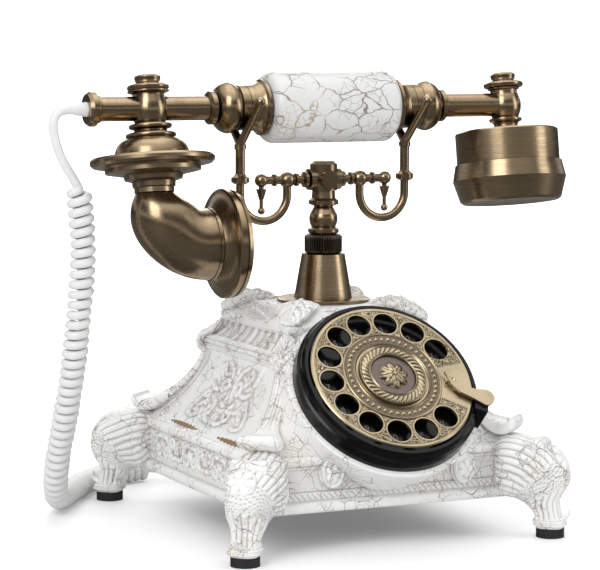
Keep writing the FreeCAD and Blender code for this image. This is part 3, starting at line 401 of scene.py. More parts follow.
def brushedBrass(name, b, stretch, turn=(0, 0, 0), brush=0.12, spread=0.28):
    # fine lines lie round the turning axis: the noise is stretched over the two other directions
    made, tree, shader, place = startMaterial(name)
    cloud = placed(tree, mottle, {"Place": place, "Size": 45.0})
    lathe = add(tree, "Mapping", {"Vector": place, "Rotation": turn, "Scale": stretch})
    lines = add(tree, "TexNoise", {"Vector": lathe.outputs[0], "Scale": 2600.0, "Detail": 2.0}).outputs[0]
    broad = add(tree, "TexNoise", {"Vector": lathe.outputs[0], "Scale": 700.0, "Detail": 3.0}).outputs[0]
    both = sums(tree, "ADD", sums(tree, "MULTIPLY", lines, 0.55), sums(tree, "MULTIPLY", broad, 0.45))
    colour = blended(tree, ranged(tree, both, 0.3, 0.7, 0.5 - spread, 0.5 + spread), b["middle"],
                     b["bright"])
    colour = blended(tree, ranged(tree, cloud["Cloud"], 0.5, 0.8, 0.0, 0.4), colour, b["dark"])
    # painted shade: ambient occlusion darkens nooks and the joins between parts towards the dark brass
    # colour
    occlusionShade = add(tree, "AmbientOcclusion", {"Distance": 0.006}, samples=6, only_local=False).outputs["AO"]
    colour = blended(tree, ranged(tree, occlusionShade, 0.25, 0.85, 0.85, 0.0), colour, b["dark"])
    rough = ranged(tree, both, 0.3, 0.7, b["rough"] + 0.05, b["rough"] - 0.04)
    bump = add(tree, "Bump", {"Height": both, "Strength": brush, "Distance": 0.00006})
    plug(tree, shader, {"Base Color": colour, "Roughness": rough, "Normal": bump.outputs[0],
                        "Metallic": 1.0})
    return made


tilt = math.radians(9.3)  # the handset's horn and drum lean this much from upright
whiteResin = castResin(resin)
brushedBrass("brass_turned_along", brass, (1, 0.02, 0.02))
brassDown = brushedBrass("brass_turned_down", brass, (0.02, 0.02, 1), (tilt, 0, 0))
brushedBrass("brass_turned_upright", brass, (0.02, 0.02, 1))
brassCast = brushedBrass("brass_cast", brass, (0.3, 0.3, 0.3), brush=0.04, spread=0.15)


def plainFinish(name, colour, rough, metal=0.0, coat=0.0, spread=0.15, size=400.0, bumpy=0.1, gloss=0.5):
    # one colour with a cloud of lighter and darker places, uneven gloss and a fine skin
    made, tree, shader, place = startMaterial(name)
    cloud = placed(tree, mottle, {"Place": place, "Size": size})
    darker = tuple(c * (1 - spread) for c in colour[:3]) + (1,)
    lighter = tuple(min(1.0, c * (1 + spread)) for c in colour[:3]) + (1,)
    tint = blended(tree, cloud["Cloud"], darker, lighter)
    uneven = ranged(tree, cloud["Cloud"], 0.3, 0.7, rough * 0.85, min(1.0, rough * 1.15))
    bump = add(tree, "Bump", {"Height": cloud["Grain"], "Strength": bumpy, "Distance": 0.0001})
    plug(tree, shader, {"Base Color": tint, "Roughness": uneven, "Normal": bump.outputs[0],
                        "Metallic": metal,
                        "Coat Weight": coat, "Specular IOR Level": gloss})
    return made


grip = {"white": (0.685, 0.685, 0.68, 1), "line": (0.10, 0.07, 0.035, 1), "gold": (0.33, 0.23, 0.09, 1),
        "rough": 0.3, "lineRough": 0.7, "glaze": 0.3}


def crackledGrip(g):
    # long cracks that show gold where they gape, and fine short ones between them, under a glaze
    made, tree, shader, place = startMaterial("grip_crackle")
    longer = add(tree, "Mapping", {"Vector": place, "Scale": (0.8, 1.0, 1.0)}).outputs[0]
    wide = placed(tree, crackle, {"Place": longer, "Cells": 88.0, "Width": 0.034, "Broken": 0.40})["Lines"]
    fine = placed(tree, crackle, {"Place": place, "Cells": 210.0, "Width": 0.045, "Broken": 0.50})["Lines"]
    gape = add(tree, "TexNoise", {"Vector": place, "Scale": 30.0, "Detail": 2.0}).outputs[0]
    line = blended(tree, ranged(tree, gape, 0.45, 0.6), g["line"], g["gold"])
    lines = sums(tree, "MAXIMUM", wide, sums(tree, "MULTIPLY", fine, 0.65))
    colour = blended(tree, sums(tree, "MULTIPLY", lines, 0.9), g["white"], line)
    rough = ranged(tree, lines, 0.0, 1.0, g["rough"], g["lineRough"])
    sunk = sums(tree, "MULTIPLY", lines, -1.0)
    bump = add(tree, "Bump", {"Height": sunk, "Strength": 0.4, "Distance": 0.0003})
    plug(tree, shader, {"Base Color": colour, "Roughness": rough, "Normal": bump.outputs[0],
                        "Coat Weight": g["glaze"], "Coat Roughness": 0.15})
    return made


gripCrackle = crackledGrip(grip)
blackGloss = plainFinish("black_gloss", (0.0022, 0.0022, 0.0025), 0.2, bumpy=0.02, gloss=0.28)
blackRubber = plainFinish("black_rubber", (0.02, 0.02, 0.02), 0.75, bumpy=0.5)
darkSteel = plainFinish("dark_steel", (0.09, 0.075, 0.06), 0.35, metal=1.0)
plainSteel = plainFinish("plain_steel", (0.5, 0.5, 0.52), 0.3, metal=1.0)
bellMetal = plainFinish("bell_metal", (0.62, 0.55, 0.40), 0.22, metal=1.0)
copperCoil = plainFinish("copper_coil", (0.5, 0.2, 0.08), 0.35, metal=1.0, bumpy=0.6)
boardGreen = plainFinish("board_green", (0.02, 0.13, 0.05), 0.4, coat=0.3)
cordWhite = plainFinish("cord_white", (0.755, 0.755, 0.75), 0.34, spread=0.03, coat=0.15, bumpy=0.06)
print("finishes made")


# the handset cord: a smooth route, and a helix wound round its middle stretch
cord = {"lead": 2.35, "outer": 6.75, "turns": 58, "across": 12, "perTurn": 22,
        "upper": [(-141.05, 2.8, 219.6), (-147.2, 2.8, 219.6), (-150.9, 2.4, 213.2), (-149.4, 2.1, 203.6),
                  (-146.2, 1.9, 194.6), (-141.4, 2.3, 187.4), (-137.4, 2.8, 180.6)],
        "coil": [(-137.4, 2.8, 180.6), (-134.3, 2.8, 157.0), (-134.9, 3.9, 134.6), (-136.1, 6.5, 114.0),
                 (-136.4, 11.5, 94.0), (-136.6, 18.7, 75.4), (-136.6, 27.7, 56.6), (-136.3, 38.5, 39.0),
                 (-134.2, 49.7, 22.4), (-128.6, 64.1, 9.4), (-117.6, 83.1, 6.85), (-104.4, 102.1, 6.85),
                 (-88.4, 122.1, 6.85), (-68.0, 136.1, 6.85), (-46.0, 142.1, 6.85)],
        "lower": [(-46.0, 142.1, 6.85), (-34.6, 143.3, 5.2), (-24.6, 137.5, 8.6), (-21.6, 125.5, 17.4),
                  (-22.0, 113.5, 27.2), (-22.0, 101.7, 33.2), (-22.0, 93.7, 34.0)]}


def routeLine(name, points):
    curve = bpy.data.curves.new(name, "CURVE")
    curve.dimensions, curve.resolution_u = "3D", 24
    spline = curve.splines.new("NURBS")
    spline.points.add(len(points) - 1)
    for point, place in zip(spline.points, points):
        point.co = (*[c * mm for c in place], 1.0)
    spline.order_u = 3
    spline.use_endpoint_u = True
    guide = bpy.data.objects.new(name, curve)
    bpy.context.collection.objects.link(guide)
    mesh = bpy.data.meshes.new_from_object(guide)
    line = np.array([v.co for v in mesh.vertices]) / mm
    bpy.data.objects.remove(guide)
    bpy.data.meshes.remove(mesh)
    return line


def directions(line):
    # the unit direction of a line at each of its points
    along = np.gradient(line, axis=0)
    return along / np.linalg.norm(along, axis=1)[:, None]


def evenly(line, count):
    run = np.concatenate([[0], np.cumsum(np.linalg.norm(np.diff(line, axis=0), axis=1))])
    at = np.linspace(0, run[-1], count)
    return np.stack([np.interp(at, run, line[:, k]) for k in range(3)], -1)


def carried(line, first=(0.0, 0.0, 1.0)):
    # two directions square to the line, carried along it without twisting
    along = directions(line)
    side = np.zeros_like(line)
    now = np.array(first, float)
    for i, t in enumerate(along):
        now = now - t * now.dot(t)
        now /= np.linalg.norm(now)
        side[i] = now
    return side, np.cross(along, side)


def tube(name, line, radius, across, body="base"):
    # a circle set square to the line at each of its points, with a pole at both ends
    side, other = carried(line)
    a = np.linspace(0, 2 * np.pi, across, endpoint=False)
    ring = np.cos(a)[None, :, None] * side[:, None] + np.sin(a)[None, :, None] * other[:, None]
    grid = line[:, None] + ring * radius
    ends = [np.repeat(line[k][None, None], across, 1) for k in (0, -1)]
    return surface(name, np.concatenate([ends[0], grid, ends[1]]), body, closeColumns=True, poles=True)


def handsetCord(c):
    upper, middle, lower = (routeLine(k, c[k]) for k in ("upper", "coil", "lower"))
    reach = c["outer"] - c["lead"] - 0.12
    count = c["turns"] * c["perTurn"] + 1
    axis = evenly(middle, count)
    side, other = carried(axis, (1.0, 0.0, 0.0))
    turn = np.linspace(0, 2 * np.pi * c["turns"], count)[:, None]
    ease = smoothStep(0, 0.75, turn / (2 * np.pi)) * smoothStep(0, 0.75, c["turns"] - turn / (2 * np.pi))
    wander = 1 + 0.03 * np.sin(turn * 0.137) + 0.02 * np.sin(turn * 0.31 + 1.0)
    helix = axis + (side * np.cos(turn) + other * np.sin(turn)) * reach * ease * wander
    line = np.vstack([evenly(upper, 40)[:-1], helix, evenly(lower, 50)[1:]])
    piece = tube("handset_cord", line, c["lead"], c["across"], body=None)
    finish(piece, cordWhite, "white_cord", "cord_upper_lead", "cord_coil", "cord_lower_lead")
    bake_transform(piece)
    return piece


handsetCord(cord)


def inResin(piece, *replaced):
    return finish(piece, whiteResin, "cast_resin", *replaced)


# the base is a rectangle whose half width follows a profile up its height, 1.09 times as long front to back
base = {"ratio": 1.09}


def boxRing(steps):
    # one ring of directions: for each side, an even run from corner to corner, and which side it is
    s = np.linspace(-1, 1, steps, endpoint=False)
    side = np.repeat(np.arange(4), steps)
    run = np.tile(s, 4)
    return side, run


def boxSurface(half, height, push, side, run):
    # half and height are profile columns, and push moves each point out from its side
    # the sides run anticlockwise from the front
    cx, cy = half[:, None], half[:, None] * base["ratio"]
    hx, hy = cx + push, cy + push
    x = np.select([side == 0, side == 1, side == 2, side == 3], [cx * run, hx, -cx * run, -hx])
    y = np.select([side == 0, side == 1, side == 2, side == 3], [-hy, cy * run, hy, -cy * run])
    corner = 1 - np.abs(run) ** 12
    x = np.where((side == 0) | (side == 2), x + np.sign(x) * push * (1 - corner), x)
    y = np.where((side == 1) | (side == 3), y + np.sign(y) * push * (1 - corner), y)
    z = np.broadcast_to(height[:, None], x.shape)
    return np.stack([x, y + midY, z], -1)


def bump(value, centre, width):
    return np.sqrt(np.clip(1 - ((value - centre) / width) ** 2, 0, 1))


plinth = {"rows": [(69.0, 23.5), (69.0, 20.2), (69.6, 20.0), (73.0, 20.0), (73.6, 20.5), (73.6, 24.4),
                   (73.0, 24.9), (71.7, 25.2)],
          "friezeLow": 25.4, "friezeHigh": 43.4, "friezeRows": 62, "half": 71.4,
          "rim": [(71.8, 43.6), (72.6, 44.0), (73.3, 44.9), (73.6, 46.0), (73.3, 47.3), (72.5, 48.2),
                  (71.0, 48.7), (68.0, 48.9), (62.0, 48.9)],
          "rope": 28.2, "ropeRise": 2.0, "scroll": 1.7, "unit": 19.0, "steps": 150, "gap": 0.6, "back": 1.2}


def scrollUnit(p, q):
    # one running scroll: two curls of opposite turn, a stem between them and leaves off the stem
    lines = [spiral((-4.1, 2.2), (3.9, 0.7), (200, -190), 26),
             spiral((4.1, -2.2), (3.9, 0.7), (20, -370), 26),
             np.array([(-8.2, -4.5), (-6.4, -4.9), (-3.2, -4.4), (-1.0, -2.2), (0.2, 0.6), (1.6, 3.6),
                       (4.6, 5.0), (8.0, 4.7)])]
    leaves = [np.array([(-0.6, -2.0), (1.0, -4.4), (0.2, -5.8)]),
              np.array([(0.8, 2.0), (-1.0, 4.4), (-0.4, 5.8)]),
              np.array([(-8.4, 3.4), (-9.2, 0.6), (-8.2, -1.6)]),
              np.array([(8.4, -3.4), (9.2, -0.6), (8.2, 1.6)])]
    return np.maximum(nearness(p, q, lines, 1.35), 0.8 * nearness(p, q, leaves, 1.0))


def makePlinth(c):
    low = np.array(c["rows"])
    z = np.linspace(c["friezeLow"], c["friezeHigh"], c["friezeRows"])
    high = np.array(c["rim"])
    half = np.concatenate([low[:, 0], np.full(len(z), c["half"]), high[:, 0]])
    height = np.concatenate([low[:, 1], z, high[:, 1]])
    side, run = boxRing(c["steps"])
    long = np.where((side == 0) | (side == 2), c["half"], c["half"] * base["ratio"])
    along = (run * long)[None] + 0 * height[:, None]
    level = np.broadcast_to(height[:, None], along.shape)
    unit = 2 * long / np.round(2 * long / c["unit"])
    p = (np.mod(along / unit + 0.5, 1) - 0.5) * unit
    carved = scrollUnit(p, (level - 36.3) * np.where(np.mod(np.floor(along / unit + 0.5), 2) > 0, 1, -1))
    band = (smoothStep(29.4, 30.6, level) * (1 - smoothStep(42.2, 43.2, level))
            * (1 - smoothStep(0.80, 0.84, np.abs(run))[None]))
    front = (side == 0)[None] & (np.abs(along) < 60)
    carved = np.where(front, 0, carved)
    rope = (bump(level, c["rope"], c["ropeRise"])
            * (0.5 + 0.5 * np.abs(np.cos(np.pi * (along / 3.1 + (level - c["rope"]) / 3.2)))))
    line = 0.5 * bump(level, 42.6, 0.55) + 0.4 * bump(level, 30.0, 0.45)
    push = c["scroll"] * carved * band + 2.1 * rope + line
    # the wall stands back where the socket panel lies
    low, high = (np.array(v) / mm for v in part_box("rear_jack_panel"))
    beside = (-along > low[0] - c["gap"]) & (-along < high[0] + c["gap"])
    behind = (side == 2)[None] & beside & (level > low[2] - c["gap"]) & (level < high[2] + c["gap"])
    push = np.where(behind, -c["back"], push)
    points = boxSurface(half, height, push, side, run)
    # painted shade in the carving's hollows and on the frieze ground between the scrolls
    dark = hollows(push) + 0.25 * band * (1 - carved) * (push < 0.2)
    piece = surface("plinth", points, closeColumns=True,
                    marks={"hollow": np.clip(dark, 0, 1), "wear": 0 * dark}, outward=False, crease=60)
    return inResin(piece)


tower = {"skirt": [(66.0, 47.6), (70.6, 48.8), (70.2, 50.0), (66.6, 53.4), (62.6, 57.8), (58.6, 62.8),
                   (54.6, 68.8), (51.0, 75.2), (48.3, 81.2), (46.7, 86.0), (46.2, 88.0)],
         "skirtRows": 76, "frieze": [(46.9, 88.3), (47.8, 88.8), (47.9, 89.7), (47.2, 90.0)],
         "beadLow": 90.2, "beadHigh": 94.8, "beadRows": 16, "beadPitch": 3.1, "beadHalf": 47.0, "steps": 104,
         "cove": [(47.2, 95.1), (46.0, 95.6), (43.4, 97.4), (41.2, 99.6), (39.6, 102.0), (38.7, 104.6)],
         "coveRows": 26, "flute": 9.6,
         "cornice": [(38.9, 105.0), (39.8, 105.4), (40.3, 106.2), (40.3, 108.6), (39.9, 109.4),
                     (38.6, 109.9)],
         "roof": [(38.2, 110.2), (35.6, 112.6), (32.2, 115.6), (30.0, 116.7), (26.0, 116.9), (12.0, 116.9),
                  (0.0, 116.9)]}


def lyre(p, q):
    # the panel in the middle of a side: paired scrolls, a flower, a bud over it and trailing stems
    half = [spiral((8.6, 72.5), (5.2, 1.0), (250, -170), 30),
            spiral((12.8, 61.0), (4.6, 0.9), (110, 480), 30),
            np.array([(6.6, 66.8), (3.4, 70.0), (2.6, 76.0), (5.8, 81.6), (12.0, 84.6)]),
            np.array([(2.2, 56.2), (6.0, 55.4), (10.2, 56.6)]),
            np.array([(14.2, 76.0), (18.4, 78.4), (20.6, 82.6)]),
            np.array([(17.2, 62.4), (22.4, 63.4), (27.0, 60.6)]),
            np.array([(13.8, 71.0), (19.6, 70.2), (24.2, 72.8)])]
    both = half + [line * (-1, 1) for line in half]
    petals = [np.array([(2.6 * math.cos(a), 61.5 + 2.6 * math.sin(a)),
                        (4.6 * math.cos(a), 61.5 + 4.6 * math.sin(a))])
              for a in np.radians(np.arange(0, 360, 60))]
    stems = [np.array([(0, 67.0), (0, 82.5)]), np.array([(0, 52.5), (0, 57.0)])]
    wisps = [spiral((24.6, 66.4), (3.0, 0.7), (200, -150), 20),
             spiral((17.6, 82.0), (2.4, 0.6), (260, -60), 18),
             np.array([(21.6, 66.0), (18.6, 63.2), (17.2, 62.4)]),
             np.array([(27.4, 67.4), (31.6, 63.0), (34.6, 57.8)]),
             np.array([(24.0, 56.4), (29.0, 55.6), (34.0, 56.6)]),
             np.array([(9.4, 79.6), (12.6, 78.0), (15.4, 80.4)])]
    wisps = wisps + [line * (-1, 1) for line in wisps]
    heart = [np.array([(0, 61.4), (0, 61.6)])]
    # each set of lines, how wide it is and how high it stands
    sets = ((both, 1.15, 1.0), (petals, 1.2, 1.0), (stems, 1.2, 0.8), (wisps, 0.9, 0.7), (heart, 1.6, 1.0))
    return np.maximum.reduce([high * nearness(p, q, lines, wide) for lines, wide, high in sets])


def bore(points):
    # how far a point lies from the dial's axis, and how deep behind the wheel's front
    away = points - dialCentre
    return np.hypot(away[..., 0], away @ dialUp), -(away @ dialOut)


def makeTower(c):
    skirt = flowing(c["skirt"][1:], c["skirtRows"])
    beadZ = np.linspace(c["beadLow"], c["beadHigh"], c["beadRows"])
    bead = np.stack([np.full(c["beadRows"], c["beadHalf"]), beadZ], -1)
    cove = flowing(c["cove"], c["coveRows"])
    profile = np.vstack([c["skirt"][:1], skirt, c["frieze"], bead, cove, c["cornice"], c["roof"]])
    half, height = profile[:, 0], profile[:, 1]
    side, run = boxRing(c["steps"])
    scale = np.where((side == 0) | (side == 2), 1.0, base["ratio"])
    along = run[None] * half[:, None] * scale[None]
    level = np.broadcast_to(height[:, None], along.shape)
    inside = 1 - smoothStep(0.84, 0.9, np.abs(run))[None]
    panel = inside * smoothStep(52.0, 54.0, level) * (1 - smoothStep(85.4, 87.0, level))
    carved = lyre(along, level) * panel * (side != 0)[None]
    frame = 0.8 * bump(np.abs(run)[None] + 0 * level, 0.87, 0.018) * (level > 53) * (level < 87)
    beads = bump(np.mod(along / c["beadPitch"], 1), 0.5, 0.42) * bump(level, 92.6, 1.25)
    lines = 0.5 * bump(level, 94.6, 0.5) + 0.5 * bump(level, 90.6, 0.45)
    inCove = smoothStep(95.3, 96.6, level) * (1 - smoothStep(103.2, 104.6, level))
    count = np.round(2 * 42.0 * scale / c["flute"])
    wave = np.abs(np.sin(np.pi * count * (run + 1) / 2))[None]
    flutes = -1.9 * np.sqrt(wave) * inCove + 0.5 * bump(wave, 0.0, 0.35) * inCove
    flutes = flutes + 0.35 * bump(np.mod(count * (run + 1) / 2, 1)[None] + 0 * level, 0.5, 0.09) * inCove
    push = 1.5 * carved + frame + 0.95 * beads + lines + flutes
    points = boxSurface(half, height, push, side, run)
    patch = (bump(along, -26.0, 21.0) + bump(along, 37.0, 21.0) + 0.12 * np.sin(along * 1.3)
             + 0.1 * np.sin(along * 2.9))
    wear = np.clip(0.1 + 0.9 * patch - np.abs(level - 50.9) / 2.0, 0, 1) * (level < 54) * (side == 3)[None]
    wear = (wear + np.clip(0.1 + 0.6 * bump(along, 12.0, 17.0) - np.abs(level - 50.2) / 2.0, 0, 1)
            * (side % 3 > 0)[None])
    # painted shade in the carving's hollows and on the flat ground of the side panels
    dark = hollows(push) + 0.10 * panel * (carved < 0.05)
    reach, deep = bore(points)
    hidden = (reach < 45.0) & (deep > -4) & (deep < 66)  # the dial stands in a hole in the front
    piece = surface("tower", points, closeColumns=True, poles=True, outward=False, crease=60, hidden=hidden,
                    marks={"hollow": np.clip(dark, 0, 1), "wear": wear})
    return inResin(piece, "base_housing")


collar = {"rim": 51.0, "back": 14.0, "flare": 9.0, "tuck": 10.0, "bore": 45.5, "around": 260, "steps": 26,
          "lowest": 29.6}


def insideBase(points):
    # whether points lie in the tower or the plinth
    levels = np.array([(20.0, 73.6), (48.6, 73.4), (48.9, 70.4), (57.8, 62.6), (68.8, 54.6), (81.2, 48.3),
                       (88.0, 46.2),
                       (95.0, 47.4), (99.6, 41.2), (104.6, 38.7), (109.6, 40.2), (112.6, 35.6),
                       (116.8, 30.0), (116.9, 0.0)])
    half = np.interp(points[..., 2], levels[:, 0], levels[:, 1])
    here = (np.abs(points[..., 0]) < half) & (np.abs(points[..., 1] - midY) < half * base["ratio"])
    return here & (points[..., 2] > 20.0) & (points[..., 2] < 116.9)


def dialPoint(across, high, deep):
    # across and high lie in the dial's face, deep goes in behind the wheel's front
    out = np.zeros(np.broadcast(across, high, deep).shape + (3,))
    out[..., 0] = across
    out[..., 1] = dialCentre[1] + dialUp[1] * high - dialOut[1] * deep
    out[..., 2] = dialCentre[2] + dialUp[2] * high - dialOut[2] * deep
    return out


def makeCollar(c):
    # each spoke runs back from the rim, then bends to meet the base where a line along the axis enters it
    a = np.linspace(0, 2 * np.pi, c["around"], endpoint=False)
    deep = np.linspace(c["back"], 90, 400)[:, None]
    lower = 1 - smoothStep(-0.8, -0.2, np.sin(a))
    wide = c["rim"] + c["flare"] * (1 - lower) - c["tuck"] * lower
    inside = insideBase(dialPoint(wide * np.cos(a), wide * np.sin(a), deep))
    lowest = dialPoint(wide * np.cos(a), wide * np.sin(a), deep)[..., 2] < c["lowest"] - 12
    inside = inside | lowest
    land = np.where(inside.any(0), deep[inside.argmax(0), 0], 62.0) + 1.5
    land = np.maximum(land, c["back"] + 3.0)
    for smoothing in range(6):
        land = (np.roll(land, 1) + land + np.roll(land, -1)) / 3
    t = np.linspace(0, 1, c["steps"])[:, None]
    radius = ((1 - t) ** 2 * c["rim"] + 2 * t * (1 - t) * (c["rim"] + 0.3 - 0.5 * c["tuck"] * lower)
              + t ** 2 * wide)
    depth = ((1 - t) ** 2 * (c["back"] + 0.9) + 2 * t * (1 - t) * (c["back"] * 0.3 + land * 0.7)
             + t ** 2 * land)
    lip = [(c["bore"] - c["tuck"] * lower, None), (c["bore"], c["back"] - 0.1), (50.2, c["back"] - 0.1),
           (50.75, c["back"] + 0.2)]
    rows, depths = [], []
    for reach, back in lip:
        rows.append(np.broadcast_to(reach, a.shape))
        depths.append(land if back is None else np.full(len(a), back))
    radius = np.vstack([np.array(rows), np.broadcast_to(radius, depth.shape)])
    depth = np.vstack([np.array(depths), depth])
    points = dialPoint(radius * np.cos(a), radius * np.sin(a), depth)
    points[..., 2] = np.maximum(points[..., 2], c["lowest"])
    blank = np.zeros(points.shape[:2])
    piece = surface("dial_collar", points, closeRows=True, closeColumns=True,
                    marks={"hollow": blank, "wear": blank})
    return inResin(piece)


makePlinth(plinth)
makeTower(tower)
makeCollar(collar)
print("base carved")


def swept(name, middle, wide, thick, columns=48, power=2.6, relief=None):
    # a rounded oblong section carried along a line: wide and thick are its half axes at each place
    a = np.linspace(0, 2 * np.pi, columns, endpoint=False)
    c = np.sign(np.cos(a)) * np.abs(np.cos(a)) ** (2 / power)
    s = np.sign(np.sin(a)) * np.abs(np.sin(a)) ** (2 / power)
    grid = middle[:, None] + wide[:, None] * c[None, :, None] + thick[:, None] * s[None, :, None]
    step = np.linalg.norm(np.diff(np.concatenate([grid, grid[:, :1]], 1), axis=1), axis=2)
    tiny = 1e-9
    arc = np.concatenate([np.zeros((len(grid), 1)), np.cumsum(step, 1)[:, :-1]],
                         1) / (step.sum(1)[:, None] + tiny)
    t = np.linspace(0, 1, len(middle))[:, None] + 0 * arc
    push = relief(t, arc, c[None] + 0 * arc, s[None] + 0 * arc) if relief else 0 * arc
    size = np.linalg.norm(thick, axis=1)[:, None] + tiny
    broad = np.linalg.norm(wide, axis=1)[:, None] + tiny
    outward = wide[:, None] * (c * np.abs(c))[None, :, None] / broad[..., None]
    outward = outward + thick[:, None] * (s * np.abs(s))[None, :, None] / size[..., None]
    outward /= np.linalg.norm(outward, axis=2)[..., None] + tiny
    grid = grid + outward * (push * np.clip(size / 3, 0, 1))[..., None]
    ends = [np.repeat(grid[k].mean(0)[None, None], columns, 1) for k in (0, -1)]
    grid = np.concatenate([ends[0], grid, ends[1]])
    push = np.vstack([push[:1], push, push[-1:]])
    # painted shade in the relief's hollows
    given = {"hollow": np.clip(hollows(push), 0, 1), "wear": 0 * push}
    return surface(name, grid, closeColumns=True, poles=True, marks=given, crease=60)


def lathe(name, origin, right, up, axis, profile, columns, body="base", marks=True, crease=48):
    # a profile of reach and height turned round its axis, closed at both ends
    origin, right, up, axis = (np.asarray(v, float) for v in (origin, right, up, axis))
    a = np.linspace(0, 2 * np.pi, columns, endpoint=False)
    reach, rise = np.array(profile, float).T
    ring = np.cos(a)[:, None] * right + np.sin(a)[:, None] * up
    grid = origin + reach[:, None, None] * ring[None] + (rise[:, None] * axis)[:, None]
    blank = np.zeros(grid.shape[:2])
    given = {"hollow": blank, "wear": blank} if marks else None
    return surface(name, grid, body, closeColumns=True, poles=True, marks=given, crease=crease)


def polar(name, origin, right, up, out, radius, height, rows=40, columns=120, squash=1.0, body="base",
          deep=1.5, ground=None):
    # a round relief: height is worked out from the reach and the angle, and the edge turns down behind it
    origin, right, up, out = (np.asarray(v, float) for v in (origin, right, up, out))
    a = np.linspace(0, 2 * np.pi, columns, endpoint=False)[None]
    low, high = radius if isinstance(radius, tuple) else (0.0, radius)
    r = np.linspace(low, high, rows)[:, None] + 0 * a
    h = height(r, a + 0 * r)
    edge = [(r[-1:], h[-1:] * 0 - deep)]
    if low > 0:
        edge.append((r[:1], h[:1] * 0 - deep))
    allR = np.vstack([r] + [e[0] for e in edge])
    allH = np.vstack([h] + [e[1] for e in edge])
    if low == 0:
        allR, allH = np.vstack([allR, allR[:1] * 0]), np.vstack([allH, allH[-1:]])
    angle = a + 0 * allR
    across, rise = allR * np.cos(angle) * squash, allR * np.sin(angle)
    grid = origin + right * across[..., None] + up * rise[..., None] + out * allH[..., None]
    # painted shade in the relief's hollows; with a ground level given, the ground below it is marked dark
    # instead
    sunk = hollows(h, 1) if ground is None else 1 - smoothStep(*ground, h)
    dark = np.vstack([sunk] + [np.zeros((1, columns))] * (len(allH) - len(h)))
    given = {"hollow": np.clip(dark, 0, 1), "wear": 0 * dark}
    return surface(name, grid, body, closeRows=low > 0, closeColumns=True, poles=low == 0, marks=given,
                   crease=60)


legShape = {"foot": (86.0, 94.0), "rows": 170, "columns": 168, "ridges": 15, "wingRidges": 25, "ridge": 1.3,
            "outer": [(7.0, 5.0), (8.2, 7.4), (5.8, 9.8), (4.6, 14.0), (4.4, 20.0), (8.6, 27.0),
                      (9.6, 32.5), (7.4, 39.5), (2.0, 44.6), (-6.0, 48.6), (-14.0, 51.4), (-23.0, 52.4),
                      (-30.0, 50.0)],
            "inner": [(-7.0, 5.0), (-8.2, 7.6), (-7.8, 9.6), (-7.2, 11.4), (-9.0, 14.4), (-12.0, 17.0),
                      (-15.0, 18.6), (-17.5, 19.6), (-19.5, 20.2), (-21.5, 20.8), (-23.5, 21.6),
                      (-26.5, 23.4), (-30.0, 28.0)],
            "thick": [7.0, 8.2, 7.2, 6.4, 7.4, 8.8, 9.6, 10.4, 12.0, 13.4, 14.0, 12.6, 4.0]}


def cornerFrame(sx, sy):
    # the foot's place, the way out along the diagonal and the way across it
    foot = np.array([sx * legShape["foot"][0], sy * legShape["foot"][1] + midY, 0.0])
    return foot, np.array([sx, sy, 0.0]) / math.sqrt(2), np.array([-sy, sx, 0.0]) / math.sqrt(2)


def legRelief(t, arc, c, s):
    # flutes run from the wing down the shank, with scales where they turn and a smooth ankle
    turning = arc + 0.035 * np.sin(6 * t)
    count = np.where(t < 0.52, legShape["ridges"], legShape["wingRidges"])
    flutes = legShape["ridge"] * np.sqrt(np.abs(np.cos(np.pi * count * turning))) - 0.7
    scaleAt = smoothStep(0.40, 0.45, t) * (1 - smoothStep(0.60, 0.66, t))
    down, round = np.pi * 34 * t + 1.5 * np.sin(30 * arc), np.pi * 17 * arc + 0.9 * np.sin(40 * t)
    scales = 1.3 * np.sqrt(np.maximum(np.abs(np.cos(round) * np.cos(down)),
                                      np.abs(np.sin(round) * np.sin(down)))) - 0.8
    plain = smoothStep(0.13, 0.2, t)
    ring = 0.8 * bump(t, 0.13, 0.018) + 0.6 * bump(t, 0.05, 0.02)
    return (flutes * (1 - scaleAt) + scales * scaleAt) * plain + ring


def makeLeg(name, sx, sy, c):
    foot, out, across = cornerFrame(sx, sy)
    outer, inner = flowing(c["outer"], c["rows"]), flowing(c["inner"], c["rows"])
    thick = flowing(np.stack([c["thick"], c["thick"]], -1), c["rows"])[:, :1] * across
    up = np.array([0, 0, 1.0])
    high = foot + outer[:, :1] * out + outer[:, 1:] * up
    low = foot + inner[:, :1] * out + inner[:, 1:] * up
    leg = swept(name, (high + low) / 2, (high - low) / 2, thick, c["columns"], 2.8, legRelief)
    inResin(leg)
    flowerAt = foot + out * 5.6 + up * 42.0
    tip = (out * 0.82 + up * 0.57)
    rise = up * 0.82 - out * 0.57
    petals = polar(name + "_flower", flowerAt, across, rise, tip, 7.6, flowerHeight, 26, 90)
    inResin(petals)
    curl = np.array([(3.6, 9.4), (6.2, 9.6), (8.4, 10.8), (9.8, 12.8), (10.2, 15.0)])
    line = flowing(curl, 26)
    middle = foot + line[:, :1] * out + line[:, 1:] * up
    size = np.linspace(1, 0.35, 26)[:, None]
    along = directions(middle)
    spur = swept(name + "_spur", middle, across * 3.6 * size, np.cross(along, across) * 1.3 * size, 24, 2.2)
    inResin(spur)
    knob = lathe(name + "_volute", foot - out * 6.6 + up * 46.6, out, up, across,
                 [(0.0, -9.6), (1.3, -9.8), (1.7, -9.2), (2.6, -9.2), (3.0, -9.9), (4.0, -9.7),
                  (4.7, -8.6), (4.9, -6.0), (4.2, 0.0),
                  (4.9, 6.0), (4.7, 8.6), (4.0, 9.7), (3.0, 9.9), (2.6, 9.2), (1.7, 9.2), (1.3, 9.8),
                  (0.0, 9.6)], 48)
    inResin(knob)


